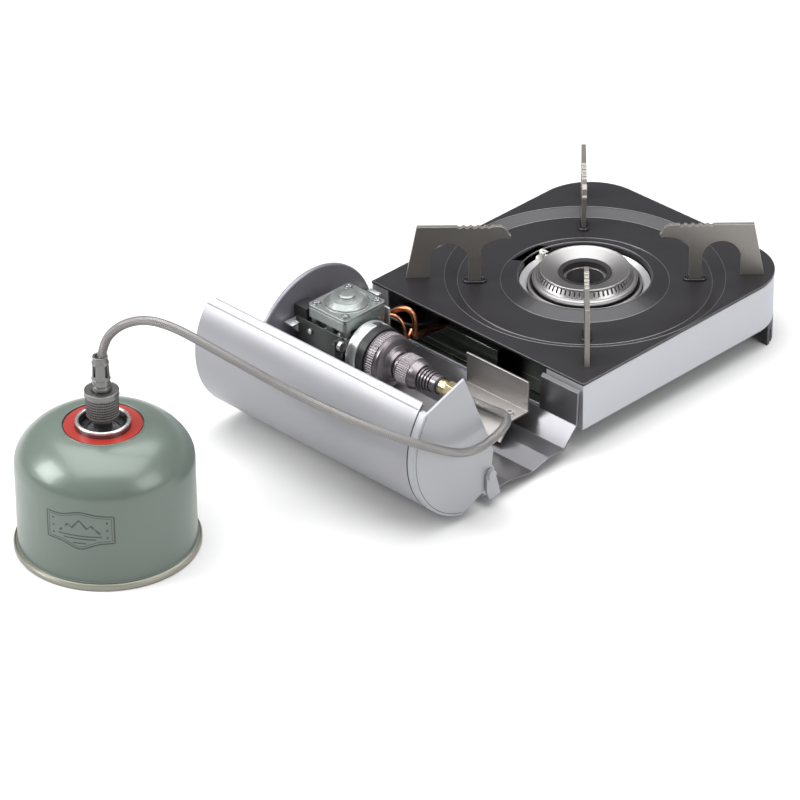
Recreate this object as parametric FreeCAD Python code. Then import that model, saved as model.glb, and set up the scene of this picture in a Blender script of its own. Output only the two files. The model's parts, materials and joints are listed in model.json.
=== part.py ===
"""Compact gas stove with a hinged cartridge lid, an adapter, a braided hose and a screw-on gas canister.

Frame: +X from the hob towards the cartridge compartment, +Y from the front panel to the back, +Z up.
The dimensions below are in the stove's working frame, whose zero is the front corner of the hob plate
beside the compartment, at table level. Every shape is moved by SHIFT when it is written, so that the
part's own origin is the middle of its footprint. Millimetres throughout.
"""
import FreeCAD, Part
import math
import os

V = FreeCAD.Vector

# ---- driving dimensions -------------------------------------------------------------------------
HOB_W = 200.5            # hob plate, X
HOB_D = 182.0            # hob plate, Y
PLATE_Z = 47.8           # top of the hob plate
SHEET = 1.0              # pressed sheet thickness
CORNER_R = 37.0          # the two outer corners of the hob
BURNER_X = -98.6
BURNER_Y = 91.8
SUPPORT_ANGLES = (-45.0, 43.5, 135.0, 223.5)   # the supports lie on the plate's diagonals
STEP_R = 89.0            # outer edge of the pressed ring
STEP_IN_R = 81.0
DISH_Z = 44.3            # floor of the pressed ring
DISH_IN_R = 53.0
WELL_R = 42.0            # opening round the burner
WELL_Z = 47.6            # top of the collar round the opening
COLLAR_DEPTH = 4.0
WALL_TOP = 46.0
WALL_BOTTOM = 15.0
WALL_T = 1.0
WALL_INSET = 0.3
LIP_WIDTH = 9.0          # width of the wall's turned-in lower edge
PAN_SLOTS = 5
PAN_SLOT_PITCH = 20.0
DOOR_BACK = 151.0        # back edge of the opening between hob and compartment

JET_Z = 25.9
JET_POINT = V(-34, 56, JET_Z)
JET_RUN = V(-15, 8.5, 0).normalize()

SUPPORT_T = 3.0
SUPPORT_TOP = 84.0
SUPPORT_TIP_R = 48.5
SUPPORT_END_R = 106.0
FOOT_IN_R = 98.0
FOOT_OUT_R = 113.0
LEG_IN_R = 65.5
LEG_OUT_R = 73.5
LEG_BOTTOM = 36.0
ARCH_Z = 60.0            # springing of the arch between leg and foot
SLOT_GAP = 0.3           # between a leg and its slot in the plate
NOTCHES = 5
NOTCH_START_R = 60.5
NOTCH_PITCH = 4.6
BURNER_PORTS = 60

ARC_X = 50.0             # centre of the compartment's round section
ARC_Z = 25.0
ARC_R = 53.2
HINGE_X = 84.9
HINGE_Z = 23.2
LID_OPEN = 105.0         # degrees from closed to open
LID_T = 1.0
LID_FRONT = -4.0
LUG_FRONT = 1.0          # front hinge lug and hem start behind the front panel
PANEL_R = 51.7
LID_REAR = 178.0
CAP_FRONT = 178.3
CAP_REAR = 184.0
CAP_T = 1.6
LIP_ANGLE = 147.0        # front lip of the shell
CAP_LIP_ANGLE = 141.0
SIDE_ANGLE = 29.4        # the straight side starts here
SIDE_FOOT = (93.7, 30.2) # X and Z of its lower edge, closed
PIN_R = 2.0
RUN_GAP = 0.08           # radial clearance of a turning fit
PANEL_SCREW = (24.0, 143.0)   # X and Y of the heat panel's screw

AXIS_X = 53.0            # cartridge and adapter axis
AXIS_Z = 41.0
RING_Y = 48.0             # back face of the regulator's coupling ring
RING_R = 19.0
NECK_FINS = 4
KNOB_X = 50.0
KNOB_Z = 41.0
KNOB_R = 17.0
KNOB_FACE = -20.0
SHAFT_R = 4.0
PANEL_FRONT = -3.3
PANEL_BACK = -0.3
LEVER_X = 14.0
LEVER_Z = 34.0
LEVER_TRAVEL = 14.0
LEVER_NECK = 4.0

REG_X = (33.0, 69.0)     # regulator casting
REG_Y = (13.0, 46.0)
REG_TOP = 65.7           # top of its cover
REG_CORNER_R = 2.5
SCREW_INSET = 4.2
SPRING_COILS = 4

CAN_X = 269.5
CAN_Y = 46.0
CAN_R = 53.8
CAN_RIM_R = 56.3
CAN_SEAM_Z = 4.0         # where the side meets the base seam
CAN_SHOULDER_R = 17.0     # tight outer curve of the shoulder
CAN_TURN = 32.0          # degrees that it turns before the wider curve of the dome takes over
CAN_MOUTH_R = 25.0
CAN_TOP_Z = 81.5
CAN_WALL = 0.8
HOSE_D = 5.5
HOSE_ROUTE = [
    (53.0, 128.0, 41.0), (53.0, 149.0, 41.0), (64.0, 181.0, 53.5), (85.0, 194.5, 57.0),
    (111.0, 194.0, 52.5), (144.0, 195.5, 72.0), (171.0, 172.5, 87.5), (196.0, 136.0, 106.0),
    (228.0, 107.5, 136.6), (248.8, 76.7, 156.4), (261.3, 58.1, 152.6), (269.5, 46.0, 135.3),
    (269.5, 46.0, 112.5),
]

REAR_END = CAP_REAR + 3.2
SHIFT = V(-(CAN_X + CAN_RIM_R - HOB_W) / 2, -(REAR_END + KNOB_FACE) / 2, 0)


# ---- helpers ------------------------------------------------------------------------------------
def block(x0, y0, z0, x1, y1, z1):
    """Box between two corners."""
    return Part.makeBox(x1 - x0, y1 - y0, z1 - z0, V(x0, y0, z0))


def rounded_block(x0, y0, z0, x1, y1, z1, radius):
    """Box with its four upright edges rounded."""
    shape = block(x0, y0, z0, x1, y1, z1)
    return shape.makeFillet(radius, [e for e in shape.Edges if abs(e.Vertexes[0].Z - e.Vertexes[1].Z) > 1])


def rod(x, y, z, r, length, axis=(0, 1, 0)):
    """Cylinder that starts at a point and runs along an axis."""
    return Part.makeCylinder(r, length, V(x, y, z), V(*axis))


def tube(x, y, z, r_out, r_in, length, axis=(0, 1, 0)):
    """Hollow cylinder."""
    return rod(x, y, z, r_out, length, axis).cut(rod(x, y, z, r_in, length, axis))


def plate_xz(points, y0, y1):
    """Closed X-Z outline extruded along Y."""
    wire = Part.makePolygon([V(x, y0, z) for x, z in points + points[:1]])
    return Part.Face(wire).extrude(V(0, y1 - y0, 0))


def turned(profile, origin, axis=(0, 0, 1)):
    """Solid of revolution from (radius, height) pairs, standing on origin along axis."""
    wire = Part.makePolygon([V(r, 0, h) for r, h in profile + profile[:1]])
    solid = Part.Face(wire).revolve(V(0, 0, 0), V(0, 0, 1), 360)
    solid.Placement = FreeCAD.Placement(V(*origin), FreeCAD.Rotation(V(0, 0, 1), V(*axis)))
    return Part.makeSolid(solid) if solid.ShapeType == "Shell" else solid


def strip(points, thickness):
    """Outline of a bent sheet: the points, and the same points moved by the thickness to their left."""
    moved = []
    for i, (x, z) in enumerate(points):
        before = points[max(i - 1, 0)]
        after = points[min(i + 1, len(points) - 1)]
        normals = []
        for a, b in ((before, (x, z)), ((x, z), after)):
            run = math.hypot(b[0] - a[0], b[1] - a[1])
            if run > 0:
                normals.append(((a[1] - b[1]) / run, (b[0] - a[0]) / run))
        nx = sum(n[0] for n in normals) / len(normals)
        nz = sum(n[1] for n in normals) / len(normals)
        scale = thickness / (nx * nx + nz * nz)
        moved.append((x + nx * scale, z + nz * scale))
    return points + moved[::-1]


def arc_point(radius, degrees, cx=ARC_X, cz=ARC_Z):
    """Point on a circle in the X-Z plane."""
    return (cx + radius * math.cos(math.radians(degrees)), cz + radius * math.sin(math.radians(degrees)))


def fuse(first, *others):
    """One solid from several that touch or overlap."""
    return first.multiFuse(list(others)).removeSplitter()


def ring_copies(shape, count, x, y, z=0.0, axis=(0, 0, 1), first=0.0):
    """Copies of a shape turned evenly about an axis."""
    copies = []
    for i in range(count):
        copy = shape.copy()
        copy.rotate(V(x, y, z), V(*axis), first + 360.0 * i / count)
        copies.append(copy)
    return copies


def knurl(radius, length, x, y, z, axis, count, depth=0.35):
    """Grooved grip: a cylinder with straight grooves round it."""
    grip = rod(x, y, z, radius, length, axis)
    side = V(1, 0, 0) if axis[0] == 0 else V(0, 1, 0)
    start = V(x, y, z) + side * (radius + 0.55 - depth)
    groove = Part.makeCylinder(0.55, length + 2, start - V(*axis), V(*axis))
    return grip.cut(Part.makeCompound(ring_copies(groove, count, x, y, z, axis)))


def hob_outline(inset, z):
    """Face of the hob's outline: square beside the compartment, round at the two outer corners."""
    x0 = -HOB_W + inset
    x1 = -inset
    y0 = inset
    y1 = HOB_D - inset
    r = CORNER_R - inset
    k = r * (1 - math.sqrt(0.5))
    edges = [
        Part.makeLine(V(x1, y0, z), V(x1, y1, z)),
        Part.makeLine(V(x1, y1, z), V(x0 + r, y1, z)),
        Part.Arc(V(x0 + r, y1, z), V(x0 + k, y1 - k, z), V(x0, y1 - r, z)).toShape(),
        Part.makeLine(V(x0, y1 - r, z), V(x0, y0 + r, z)),
        Part.Arc(V(x0, y0 + r, z), V(x0 + k, y0 + k, z), V(x0 + r, y0, z)).toShape(),
        Part.makeLine(V(x0 + r, y0, z), V(x1, y0, z)),
    ]
    return Part.Face(Part.Wire(edges))


def hob_slab(inset, z0, z1):
    """Slab with the hob's outline."""
    return hob_outline(inset, z0).extrude(V(0, 0, z1 - z0))


def opened(shape):
    """Turn a lid piece from its closed place to its open rest place."""
    shape.rotate(V(HINGE_X, 0, HINGE_Z), V(0, 1, 0), LID_OPEN)
    return shape


# ---- hob ----------------------------------------------------------------------------------------
def make_top_plate():
    rim_depth = PLATE_Z - WALL_TOP - 0.3
    skirt = hob_slab(0, PLATE_Z - rim_depth, PLATE_Z)
    skirt = skirt.cut(hob_slab(SHEET, PLATE_Z - rim_depth, PLATE_Z - SHEET))
    plate = skirt.cut(rod(BURNER_X, BURNER_Y, 0, STEP_R - 0.3, 100, (0, 0, 1)))
    dish = turned([
        (STEP_R, PLATE_Z), (STEP_IN_R, DISH_Z), (DISH_IN_R, DISH_Z), (WELL_R + 1.4, WELL_Z),
        (WELL_R, WELL_Z - 0.6), (WELL_R, WELL_Z - COLLAR_DEPTH),
        (WELL_R + SHEET, WELL_Z - COLLAR_DEPTH), (WELL_R + SHEET, WELL_Z - 1.4),
        (DISH_IN_R + 0.3, DISH_Z - SHEET), (STEP_IN_R + 0.3, DISH_Z - SHEET), (STEP_R, PLATE_Z - SHEET)],
        (BURNER_X, BURNER_Y, 0))
    plate = fuse(plate, dish)
    notch = block(BURNER_X - 12, BURNER_Y - 51, DISH_Z - 3, BURNER_X + 14, BURNER_Y - 36, PLATE_Z + 1)
    plate = plate.cut(notch)
    for angle in SUPPORT_ANGLES:
        half = SUPPORT_T / 2 + SLOT_GAP
        slot = block(LEG_IN_R - 0.4, -half, 30, LEG_OUT_R + 0.4, half, 60)
        rim = block(LEG_IN_R - 1.6, -half - 1.2, DISH_Z - 0.5, LEG_OUT_R + 1.6, half + 1.2, DISH_Z + 0.8)
        for piece in (slot, rim):
            piece.rotate(V(0, 0, 0), V(0, 0, 1), angle)
            piece.translate(V(BURNER_X, BURNER_Y, 0))
        plate = plate.fuse(rim).cut(slot)
    return plate


def make_body_shell():
    outer = hob_slab(WALL_INSET, WALL_BOTTOM, WALL_TOP)
    inner = hob_slab(WALL_INSET + WALL_T, WALL_BOTTOM - 1, WALL_TOP + 1)
    wall = outer.cut(inner)
    lip = hob_slab(WALL_INSET, WALL_BOTTOM, WALL_BOTTOM + WALL_T)
    lip = lip.cut(hob_slab(LIP_WIDTH, WALL_BOTTOM - 1, WALL_BOTTOM + 3))
    wall = fuse(wall, lip)
    doorway = block(-12, 14, WALL_BOTTOM + WALL_T + 2, 5, DOOR_BACK, PLATE_Z)
    return wall.cut(doorway)


def make_base_pan():
    pan = hob_slab(3.0, WALL_BOTTOM + 1.05, WALL_BOTTOM + 2.05)
    slots = []
    for i in range(PAN_SLOTS):
        y = BURNER_Y - 44 + PAN_SLOT_PITCH * i
        slots.append(block(BURNER_X - 40, y, 10, BURNER_X + 40, y + 6, 20))
    return pan.cut(Part.makeCompound(slots))


def make_corner_foot(front):
    """Foot under an outer hob corner: a curved skirt that follows the wall, with a slit."""
    height = WALL_BOTTOM + 3.0
    skirt = hob_slab(0.2, 0, WALL_BOTTOM - 0.1).cut(hob_slab(5.5, -1, WALL_BOTTOM + 1))
    pad = hob_slab(1.0, WALL_BOTTOM - 4.1, WALL_BOTTOM - 0.1)
    reach = CORNER_R * 0.72
    y0 = 0 if front else HOB_D - reach
    y1 = reach if front else HOB_D
    zone = block(-HOB_W, y0, -1, -HOB_W + reach, y1, height)
    foot = skirt.fuse(pad).common(zone)
    slit_y = 0 if front else HOB_D - 8
    slit = block(-HOB_W + 21, slit_y, -1, -HOB_W + 23, slit_y + 8, WALL_BOTTOM - 5)
    return foot.cut(slit)


def make_inner_bulkhead():
    """Upright sheet inside the hob that keeps the burner's heat from the cartridge."""
    profile = strip([(-17, 40), (-22, 30), (-22, 17.2), (-10, 17.2)], SHEET)
    sheet = plate_xz(profile, 12, DOOR_BACK + 5)
    return sheet.cut(Part.makeCylinder(9.5, 60, JET_POINT - JET_RUN * 30, JET_RUN))


# ---- pot supports -------------------------------------------------------------------------------
def make_pot_support(angle):
    """Sheet trestle standing on the plate outside and in the dish inside, with a notched top edge."""
    foot_z = PLATE_Z + 0.02
    tip = SUPPORT_TIP_R
    top = SUPPORT_TOP
    outline = [
        (FOOT_OUT_R, foot_z), (SUPPORT_END_R, top), (tip + 4, top), (tip + 1, top - 2),
        (tip - 1.5, top - 8), (tip + 6, top - 9), (tip + 11, top - 10.5), (LEG_IN_R - 2, top - 13),
        (LEG_IN_R, top - 17), (LEG_IN_R, LEG_BOTTOM), (LEG_OUT_R, LEG_BOTTOM),
        (LEG_OUT_R, ARCH_Z + 6), (FOOT_IN_R, ARCH_Z + 6), (FOOT_IN_R, foot_z)]
    plate = plate_xz(outline, -SUPPORT_T / 2, SUPPORT_T / 2)
    arch_r = (FOOT_IN_R - LEG_OUT_R) / 2
    arch = rod(LEG_OUT_R + arch_r, -5, ARCH_Z, arch_r, 10)
    gap = block(LEG_OUT_R, -5, 30, FOOT_IN_R, 5, ARCH_Z)
    corner_fill = block(LEG_OUT_R, -SUPPORT_T / 2, ARCH_Z, FOOT_IN_R, SUPPORT_T / 2, ARCH_Z + 10)
    plate = fuse(plate, corner_fill).cut(arch).cut(gap)
    notches = [rod(NOTCH_START_R + NOTCH_PITCH * i, -5, top + 0.9, 1.9, 10) for i in range(NOTCHES)]
    plate = plate.cut(Part.makeCompound(notches))
    hook = rod(tip - 0.3, -SUPPORT_T / 2, top - 7.4, 1.5, SUPPORT_T)
    plate = fuse(plate, hook)
    plate.rotate(V(0, 0, 0), V(0, 0, 1), angle)
    plate.translate(V(BURNER_X, BURNER_Y, 0))
    return plate


# ---- burner -------------------------------------------------------------------------------------
def make_burner():
    centre = (BURNER_X, BURNER_Y, 0)
    base = turned([(12, 34), (30, 34), (36, 40.5), (36.5, 43), (35, 43.3), (29, 36), (14, 35.5), (14, 46.2),
                   (12, 46.2)], centre)
    ring = turned([(26.3, 37), (28, 37), (33.2, 44.2), (33.2, 46.4), (32.2, 47.0), (30.9, 47.2), (28.4, 51.3),
                   (26.3, 51.3)], centre)
    port = block(BURNER_X + 27.4, BURNER_Y - 0.55, 48.3, BURNER_X + 33, BURNER_Y + 0.55, 51.5)
    ports = ring_copies(port, BURNER_PORTS, BURNER_X, BURNER_Y)
    ring = ring.cut(Part.makeCompound(ports))
    cap = turned([(14.2, 46.4), (14.6, 49.2), (17.5, 50.3), (26.2, 52.6), (28.2, 53.2), (28.7, 52.2),
                  (28.2, 51.5), (26.2, 51.5), (17.6, 49.0), (15.4, 46.4)], centre)
    reflector = turned([(16, 32.2), (37, 32.2), (42.5, 38.0), (42.5, 38.9), (41.6, 38.9), (36.6, 33.2),
                        (16, 33.2)], centre)
    reflector = reflector.cut(block(BURNER_X - 14, BURNER_Y - 50, 25, BURNER_X + 10, BURNER_Y - 33, 45))
    return {"burner_base": base, "burner_ring": ring, "burner_cap": cap, "reflector": reflector}


def make_mixing_tube():
    """Venturi that carries gas and air from the jet to the burner."""
    start = JET_POINT
    end = V(BURNER_X + 7, BURNER_Y - 4, JET_Z)
    run = end.sub(start)
    length = run.Length
    pipe = Part.makeCylinder(6.0, length, start, run).cut(Part.makeCylinder(5.0, length - 4, start, run))
    bell = Part.makeCone(8.4, 6.0, 8, start - run.normalize() * 8, run)
    bell = bell.cut(Part.makeCone(7.4, 5.0, 8, start - run * 8, run))
    riser = rod(end.x, end.y, JET_Z, 7.0, 33.9 - JET_Z, (0, 0, 1))
    return fuse(pipe, bell, riser)


def make_igniter():
    x = BURNER_X - 4
    y = BURNER_Y - 44.0
    foot = V(x, y, 33)
    lean = (0, 0.26, 0.966)
    ceramic = turned([(0, 0), (3.4, 0), (3.4, 9), (2.2, 10), (2.2, 15), (0, 15)], (x, y, 33), lean)
    tip = foot + V(*lean) * 15
    bend = tip + V(*lean) * 1.2
    electrode = fuse(Part.makeCylinder(0.6, 1.2, tip, V(*lean)), Part.makeSphere(0.6, bend),
                     Part.makeCylinder(0.6, 4.4, bend, V(0, 1, 0)))
    bracket = block(x - 6, y - 5, 30.6, x + 6, y + 4, 31.8)
    cable = turned([(0, 0), (1.3, 0), (1.3, 34), (0, 34)], (x, y - 6.5, 29.2), (0.96, -0.28, 0))
    return {"igniter_ceramic": ceramic, "igniter_electrode": electrode, "igniter_bracket": bracket,
            "igniter_lead": cable}


# ---- compartment --------------------------------------------------------------------------------
TRAY_LINE = [
    (2.2, 44.0), (3.9, 42.7), (5.0, 20.5), (16.3, 8.4), (30.5, 8.4), (44.5, 4.7), (66.0, 7.8), (77.4, 7.4),
]


def make_tray():
    """Pressed floor of the cartridge compartment, with the upright wall beside the hob."""
    sheet = plate_xz(strip(TRAY_LINE, SHEET), 1.0, HOB_D)
    doorway = block(-5, -1, 21.5, 12, DOOR_BACK, 60)
    return sheet.cut(doorway)


def make_heat_panel():
    """Bent bracket that guides the cartridge and warms it: upright, shelf and slanted leg."""
    line = [(14.0, 42.5), (14.0, 20.4), (30.5, 20.4), (39.0, 9.6)]
    panel = plate_xz(strip(line, 1.2), 98, 150)
    return panel.cut(rod(*PANEL_SCREW, 15.0, 1.4, 10, (0, 0, 1)))


def make_heat_panel_screw():
    head = rod(*PANEL_SCREW, 21.6, 2.6, 1.4, (0, 0, 1))
    return fuse(head, rod(*PANEL_SCREW, 16.0, 1.4, 5.7, (0, 0, 1)))


def make_front_panel():
    disc = rod(ARC_X, PANEL_FRONT, ARC_Z, PANEL_R, PANEL_BACK - PANEL_FRONT)
    inside_lid = plate_xz([(-20, 6.0), (87.0, 6.0), (87.6, 15.5), (91.2, 17.5), (91.6, 30.0), (93.5, 49.6),
                           (93.5, 100), (-20, 100)], -10, 5)
    disc = disc.common(inside_lid)
    rim = disc.makeFillet(1.2, [e for e in disc.Edges if e.Length > 90])
    shaft_hole = rod(KNOB_X, -10, KNOB_Z, SHAFT_R + RUN_GAP, 20)
    half = LEVER_NECK / 2 + 0.3
    lever_slot = block(LEVER_X - half, -10, LEVER_Z - half, LEVER_X + half, 10, LEVER_Z + LEVER_TRAVEL + half)
    pin_hole = rod(HINGE_X, -10, HINGE_Z, PIN_R, 20)
    return rim.cut(shaft_hole).cut(lever_slot).cut(pin_hole)


def make_hinge_parts():
    rear = [(77.7, 8.6), (77.7, 7.4), (86.6, 6.4), (89.0, 12.4), (88.9, 23.5), (86.6, 27.0), (83.2, 27.0),
            (79.6, 16.0)]
    ear = plate_xz(rear, CAP_REAR + 0.5, CAP_REAR + 2.3)
    bridge = plate_xz([(77.7, 7.4), (86.6, 6.4), (86.9, 8.4), (77.7, 9.4)], 160, CAP_REAR + 0.6)
    ear = fuse(ear, bridge).cut(rod(HINGE_X, CAP_REAR, HINGE_Z, PIN_R, 5))
    front_pin = rod(HINGE_X, PANEL_FRONT, HINGE_Z, PIN_R, 7.3)
    front_pin = fuse(front_pin, rod(HINGE_X, PANEL_FRONT - 1.0, HINGE_Z, 3.2, 1.0))
    rear_pin = rod(HINGE_X, 179.0, HINGE_Z, PIN_R, CAP_REAR + 2.3 - 179.0)
    rear_pin = fuse(rear_pin, rod(HINGE_X, CAP_REAR + 2.3, HINGE_Z, 3.2, 0.9))
    return {"hinge_ear": ear, "hinge_pins": Part.makeCompound([front_pin, rear_pin])}


def make_tray_feet():
    feet = [rod(70.0, y, 0, 6.0, 7.4, (0, 0, 1)) for y in (14.0, 158.0)]
    return {"tray_feet": Part.makeCompound(feet)}


# ---- lid ----------------------------------------------------------------------------------------
def lid_section(outer_r, thickness, start, end, y0, y1, side=True):
    """Round roof of the lid, closed, as a sheet; side adds the straight wall below the arc."""
    inner_r = outer_r - thickness
    middle = (start + end) / 2
    a0 = arc_point(outer_r, start)
    a1 = arc_point(outer_r, middle)
    a2 = arc_point(outer_r, end)
    b0 = arc_point(inner_r, start)
    b1 = arc_point(inner_r, middle)
    b2 = arc_point(inner_r, end)
    edges = [Part.Arc(V(a0[0], y0, a0[1]), V(a1[0], y0, a1[1]), V(a2[0], y0, a2[1])).toShape()]
    low_outer = SIDE_FOOT
    low_inner = (SIDE_FOOT[0] - thickness, SIDE_FOOT[1])
    chain = [a2, low_outer, low_inner, b2] if side else [a2, b2]
    for p, q in zip(chain[:-1], chain[1:]):
        edges.append(Part.makeLine(V(p[0], y0, p[1]), V(q[0], y0, q[1])))
    edges.append(Part.Arc(V(b2[0], y0, b2[1]), V(b1[0], y0, b1[1]), V(b0[0], y0, b0[1])).toShape())
    edges.append(Part.makeLine(V(b0[0], y0, b0[1]), V(a0[0], y0, a0[1])))
    return Part.Face(Part.Wire(edges)).extrude(V(0, y1 - y0, 0))


def make_lid():
    shell = lid_section(ARC_R, LID_T, LIP_ANGLE, SIDE_ANGLE, LID_FRONT, LID_REAR)
    hem = lid_section(ARC_R - LID_T + 0.01, LID_T, LIP_ANGLE, LIP_ANGLE - 6.5, LUG_FRONT, LID_REAR,
                      side=False)
    lug = plate_xz([(93.6, 31.0), (92.9, 29.0), (88.5, 20.5), (83.0, 19.2), (80.6, 23.0), (83.0, 27.5),
                    (92.8, 40.0)], LUG_FRONT, LUG_FRONT + 2.0)
    shell = fuse(shell, hem, lug).cut(rod(HINGE_X, -5, HINGE_Z, PIN_R + RUN_GAP, 30))

    roof = lid_section(ARC_R, ARC_R - 1.0, CAP_LIP_ANGLE, SIDE_ANGLE, CAP_FRONT, CAP_REAR, side=False)
    low = plate_xz([(ARC_X, ARC_Z), arc_point(ARC_R, CAP_LIP_ANGLE), (6.4, 24.4), (57.0, 17.2), (72.0, 16.0),
                    (79.6, 19.6), (84.0, 18.4), (89.4, 21.6), SIDE_FOOT, arc_point(ARC_R, SIDE_ANGLE)],
                   CAP_FRONT, CAP_REAR)
    cap = fuse(roof, low, rod(ARC_X, CAP_FRONT, ARC_Z, 2.0, CAP_REAR - CAP_FRONT))
    pocket_r = ARC_R - 1.4
    pocket = rod(ARC_X, CAP_FRONT - 1, ARC_Z, pocket_r, CAP_REAR - CAP_T - CAP_FRONT + 1)
    pocket = pocket.common(block(-20, 0, 8, ARC_X + pocket_r - 9.0, 200, 100))
    cap = cap.cut(pocket)
    spigot = lid_section(ARC_R - LID_T - 0.12, 1.0, CAP_LIP_ANGLE - 8.0, SIDE_ANGLE + 2, CAP_FRONT - 7,
                         CAP_FRONT + 3, side=False)
    cap = fuse(cap, spigot).cut(rod(HINGE_X, 170, HINGE_Z, PIN_R + RUN_GAP, 30))
    return {"lid_shell": opened(shell), "lid_end_cap": opened(cap)}


# ---- controls -----------------------------------------------------------------------------------
def make_controls():
    knob = turned([(0, 0), (KNOB_R - 1.5, 0), (KNOB_R, 1.5), (KNOB_R, 10.5), (KNOB_R + 2, 12.5),
                   (KNOB_R + 2, 14.2), (SHAFT_R, 14.2), (SHAFT_R, 4.0), (0, 4.0)],
                  (KNOB_X, KNOB_FACE, KNOB_Z), (0, 1, 0))
    grip = block(KNOB_X - 3, KNOB_FACE, KNOB_Z - KNOB_R + 1, KNOB_X + 3, KNOB_FACE + 4.0, KNOB_Z + KNOB_R - 1)
    flats = [block(KNOB_X + 4.5, KNOB_FACE - 1, KNOB_Z - 14, KNOB_X + 14, KNOB_FACE + 4, KNOB_Z + 14),
             block(KNOB_X - 14, KNOB_FACE - 1, KNOB_Z - 14, KNOB_X - 4.5, KNOB_FACE + 4, KNOB_Z + 14)]
    hollow = rod(KNOB_X, KNOB_FACE - 1, KNOB_Z, KNOB_R - 3.0, 5.0)
    knob = fuse(knob.cut(hollow.common(Part.makeCompound(flats))), grip)
    shaft = rod(KNOB_X, KNOB_FACE + 4.02, KNOB_Z, SHAFT_R, 24.0)
    cam = rod(KNOB_X, 0.4, KNOB_Z, 7.0, 3.0)
    half = LEVER_NECK / 2
    lever = fuse(block(LEVER_X - 6, -12, LEVER_Z - 4, LEVER_X + 6, PANEL_FRONT - 0.4, LEVER_Z + 4),
                 block(LEVER_X - half, PANEL_FRONT - 1, LEVER_Z - half, LEVER_X + half, 4.0, LEVER_Z + half))
    slide = block(LEVER_X - 5, 4.0, LEVER_Z - 5, LEVER_X + 5, 5.5, LEVER_Z + 7)
    return {"knob": knob, "knob_shaft": fuse(shaft, cam), "lock_lever": lever, "lock_slide": slide}


def make_regulator():
    x0, x1 = REG_X
    y0, y1 = REG_Y
    xm = (x0 + x1) / 2
    ym = (y0 + y1) / 2
    body = rounded_block(x0, y0, REG_TOP - 8.7, x1, y1, REG_TOP - 2.1, REG_CORNER_R)
    stem = fuse(rod(xm, ym, 24.5, 13.0, 33, (0, 0, 1)), block(x0 + 5, y0 + 1, 30, x1 - 5, y1, 50),
                rod(AXIS_X, ym, AXIS_Z, 14.0, RING_Y - 0.3 - ym))
    body = fuse(body, stem)
    body = body.cut(rod(xm, ym, 58.0, 12.0, 6, (0, 0, 1))).cut(rod(KNOB_X, y0 - 8, KNOB_Z, 5.2, 14))
    cover = rounded_block(x0, y0, REG_TOP - 2.0, x1, y1, REG_TOP, REG_CORNER_R)
    dome = turned([(0, 65.6), (13.5, 65.6), (13.5, 66.6), (10.5, 69.2), (5.2, 69.8), (5.2, 71.4), (3.8, 71.8),
                   (0, 71.8)], (xm, ym, 0))
    cover = fuse(cover, dome)
    cover = cover.cut(turned([(0, 60), (10.5, 60), (10.5, 67), (4, 68.4), (0, 68.4)], (xm, ym, 0)))
    screws = []
    for sx in (x0 + SCREW_INSET, x1 - SCREW_INSET):
        for sy in (y0 + SCREW_INSET, y1 - SCREW_INSET):
            screw = fuse(rod(sx, sy, REG_TOP, 2.3, 1.5, (0, 0, 1)), rod(sx, sy, 60.0, 1.2, 6, (0, 0, 1)))
            screw = screw.cut(block(sx - 1.6, sy - 0.35, 66.6, sx + 1.6, sy + 0.35, 68))
            screws.append(screw.cut(block(sx - 0.35, sy - 1.6, 66.6, sx + 0.35, sy + 1.6, 68)))
            hole = rod(sx, sy, 59.9, 1.2, 7, (0, 0, 1))
            body = body.cut(hole)
            cover = cover.cut(hole)
    diaphragm = rod(xm, ym, 62.6, 11.8, 0.8, (0, 0, 1))
    coils = []
    for i in range(SPRING_COILS):
        coils.append(tube(xm, ym, 63.6 + 1.1 * i, 3.4, 2.5, 0.7, (0, 0, 1)))
    spring = fuse(tube(xm, ym, 63.5, 3.0, 2.7, 4.6, (0, 0, 1)), *coils)
    bracket = fuse(block(24.0, 5.9, 21.0, 78.0, 52.0, 22.4), block(24.0, 5.9, 9.8, 26.0, 52.0, 21.1),
                   block(76.0, 5.9, 9.8, 78.0, 52.0, 21.1), block(24.0, 4.4, 21.0, 78.0, 5.9, 34.0))
    bracket = fuse(bracket, block(75.0, 46.5, 21.5, 80.0, 48.0, 57.0),
                   block(72.0, 46.5, 46.0, 80.0, 48.0, 57.0),
                   block(xm - 9, ym - 9, 22.3, xm + 9, ym + 9, 24.45))
    ring = rod(AXIS_X, RING_Y, AXIS_Z, RING_R, 8.4).cut(rod(AXIS_X, RING_Y + 3.7, AXIS_Z, 14.5, 10))
    ring = ring.makeFillet(1.0, [e for e in ring.Edges if e.Length > 6.2 * RING_R])
    notch = block(AXIS_X - 8.5, RING_Y + 3.7, AXIS_Z + 11, AXIS_X - 1.5, 60, AXIS_Z + 30)
    probe = rod(AXIS_X, RING_Y + 0.1, AXIS_Z, 3.0, 8.5)
    ring = fuse(ring.cut(notch), probe)
    bolt = fuse(rod(76.0, 48.05, 53.0, 3.4, 3.2), rod(76.0, 44.0, 53.0, 1.9, 4.2))
    bracket = bracket.cut(rod(76.0, 40, 53.0, 1.9, 12)).cut(rod(AXIS_X, 40, AXIS_Z, 22.0, 20))
    return {"regulator_body": body, "regulator_cover": cover, "cover_screws": Part.makeCompound(screws),
            "diaphragm": diaphragm, "regulator_spring": spring, "regulator_bracket": bracket,
            "coupling_ring": ring, "coupling_bolt": bolt}


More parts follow.
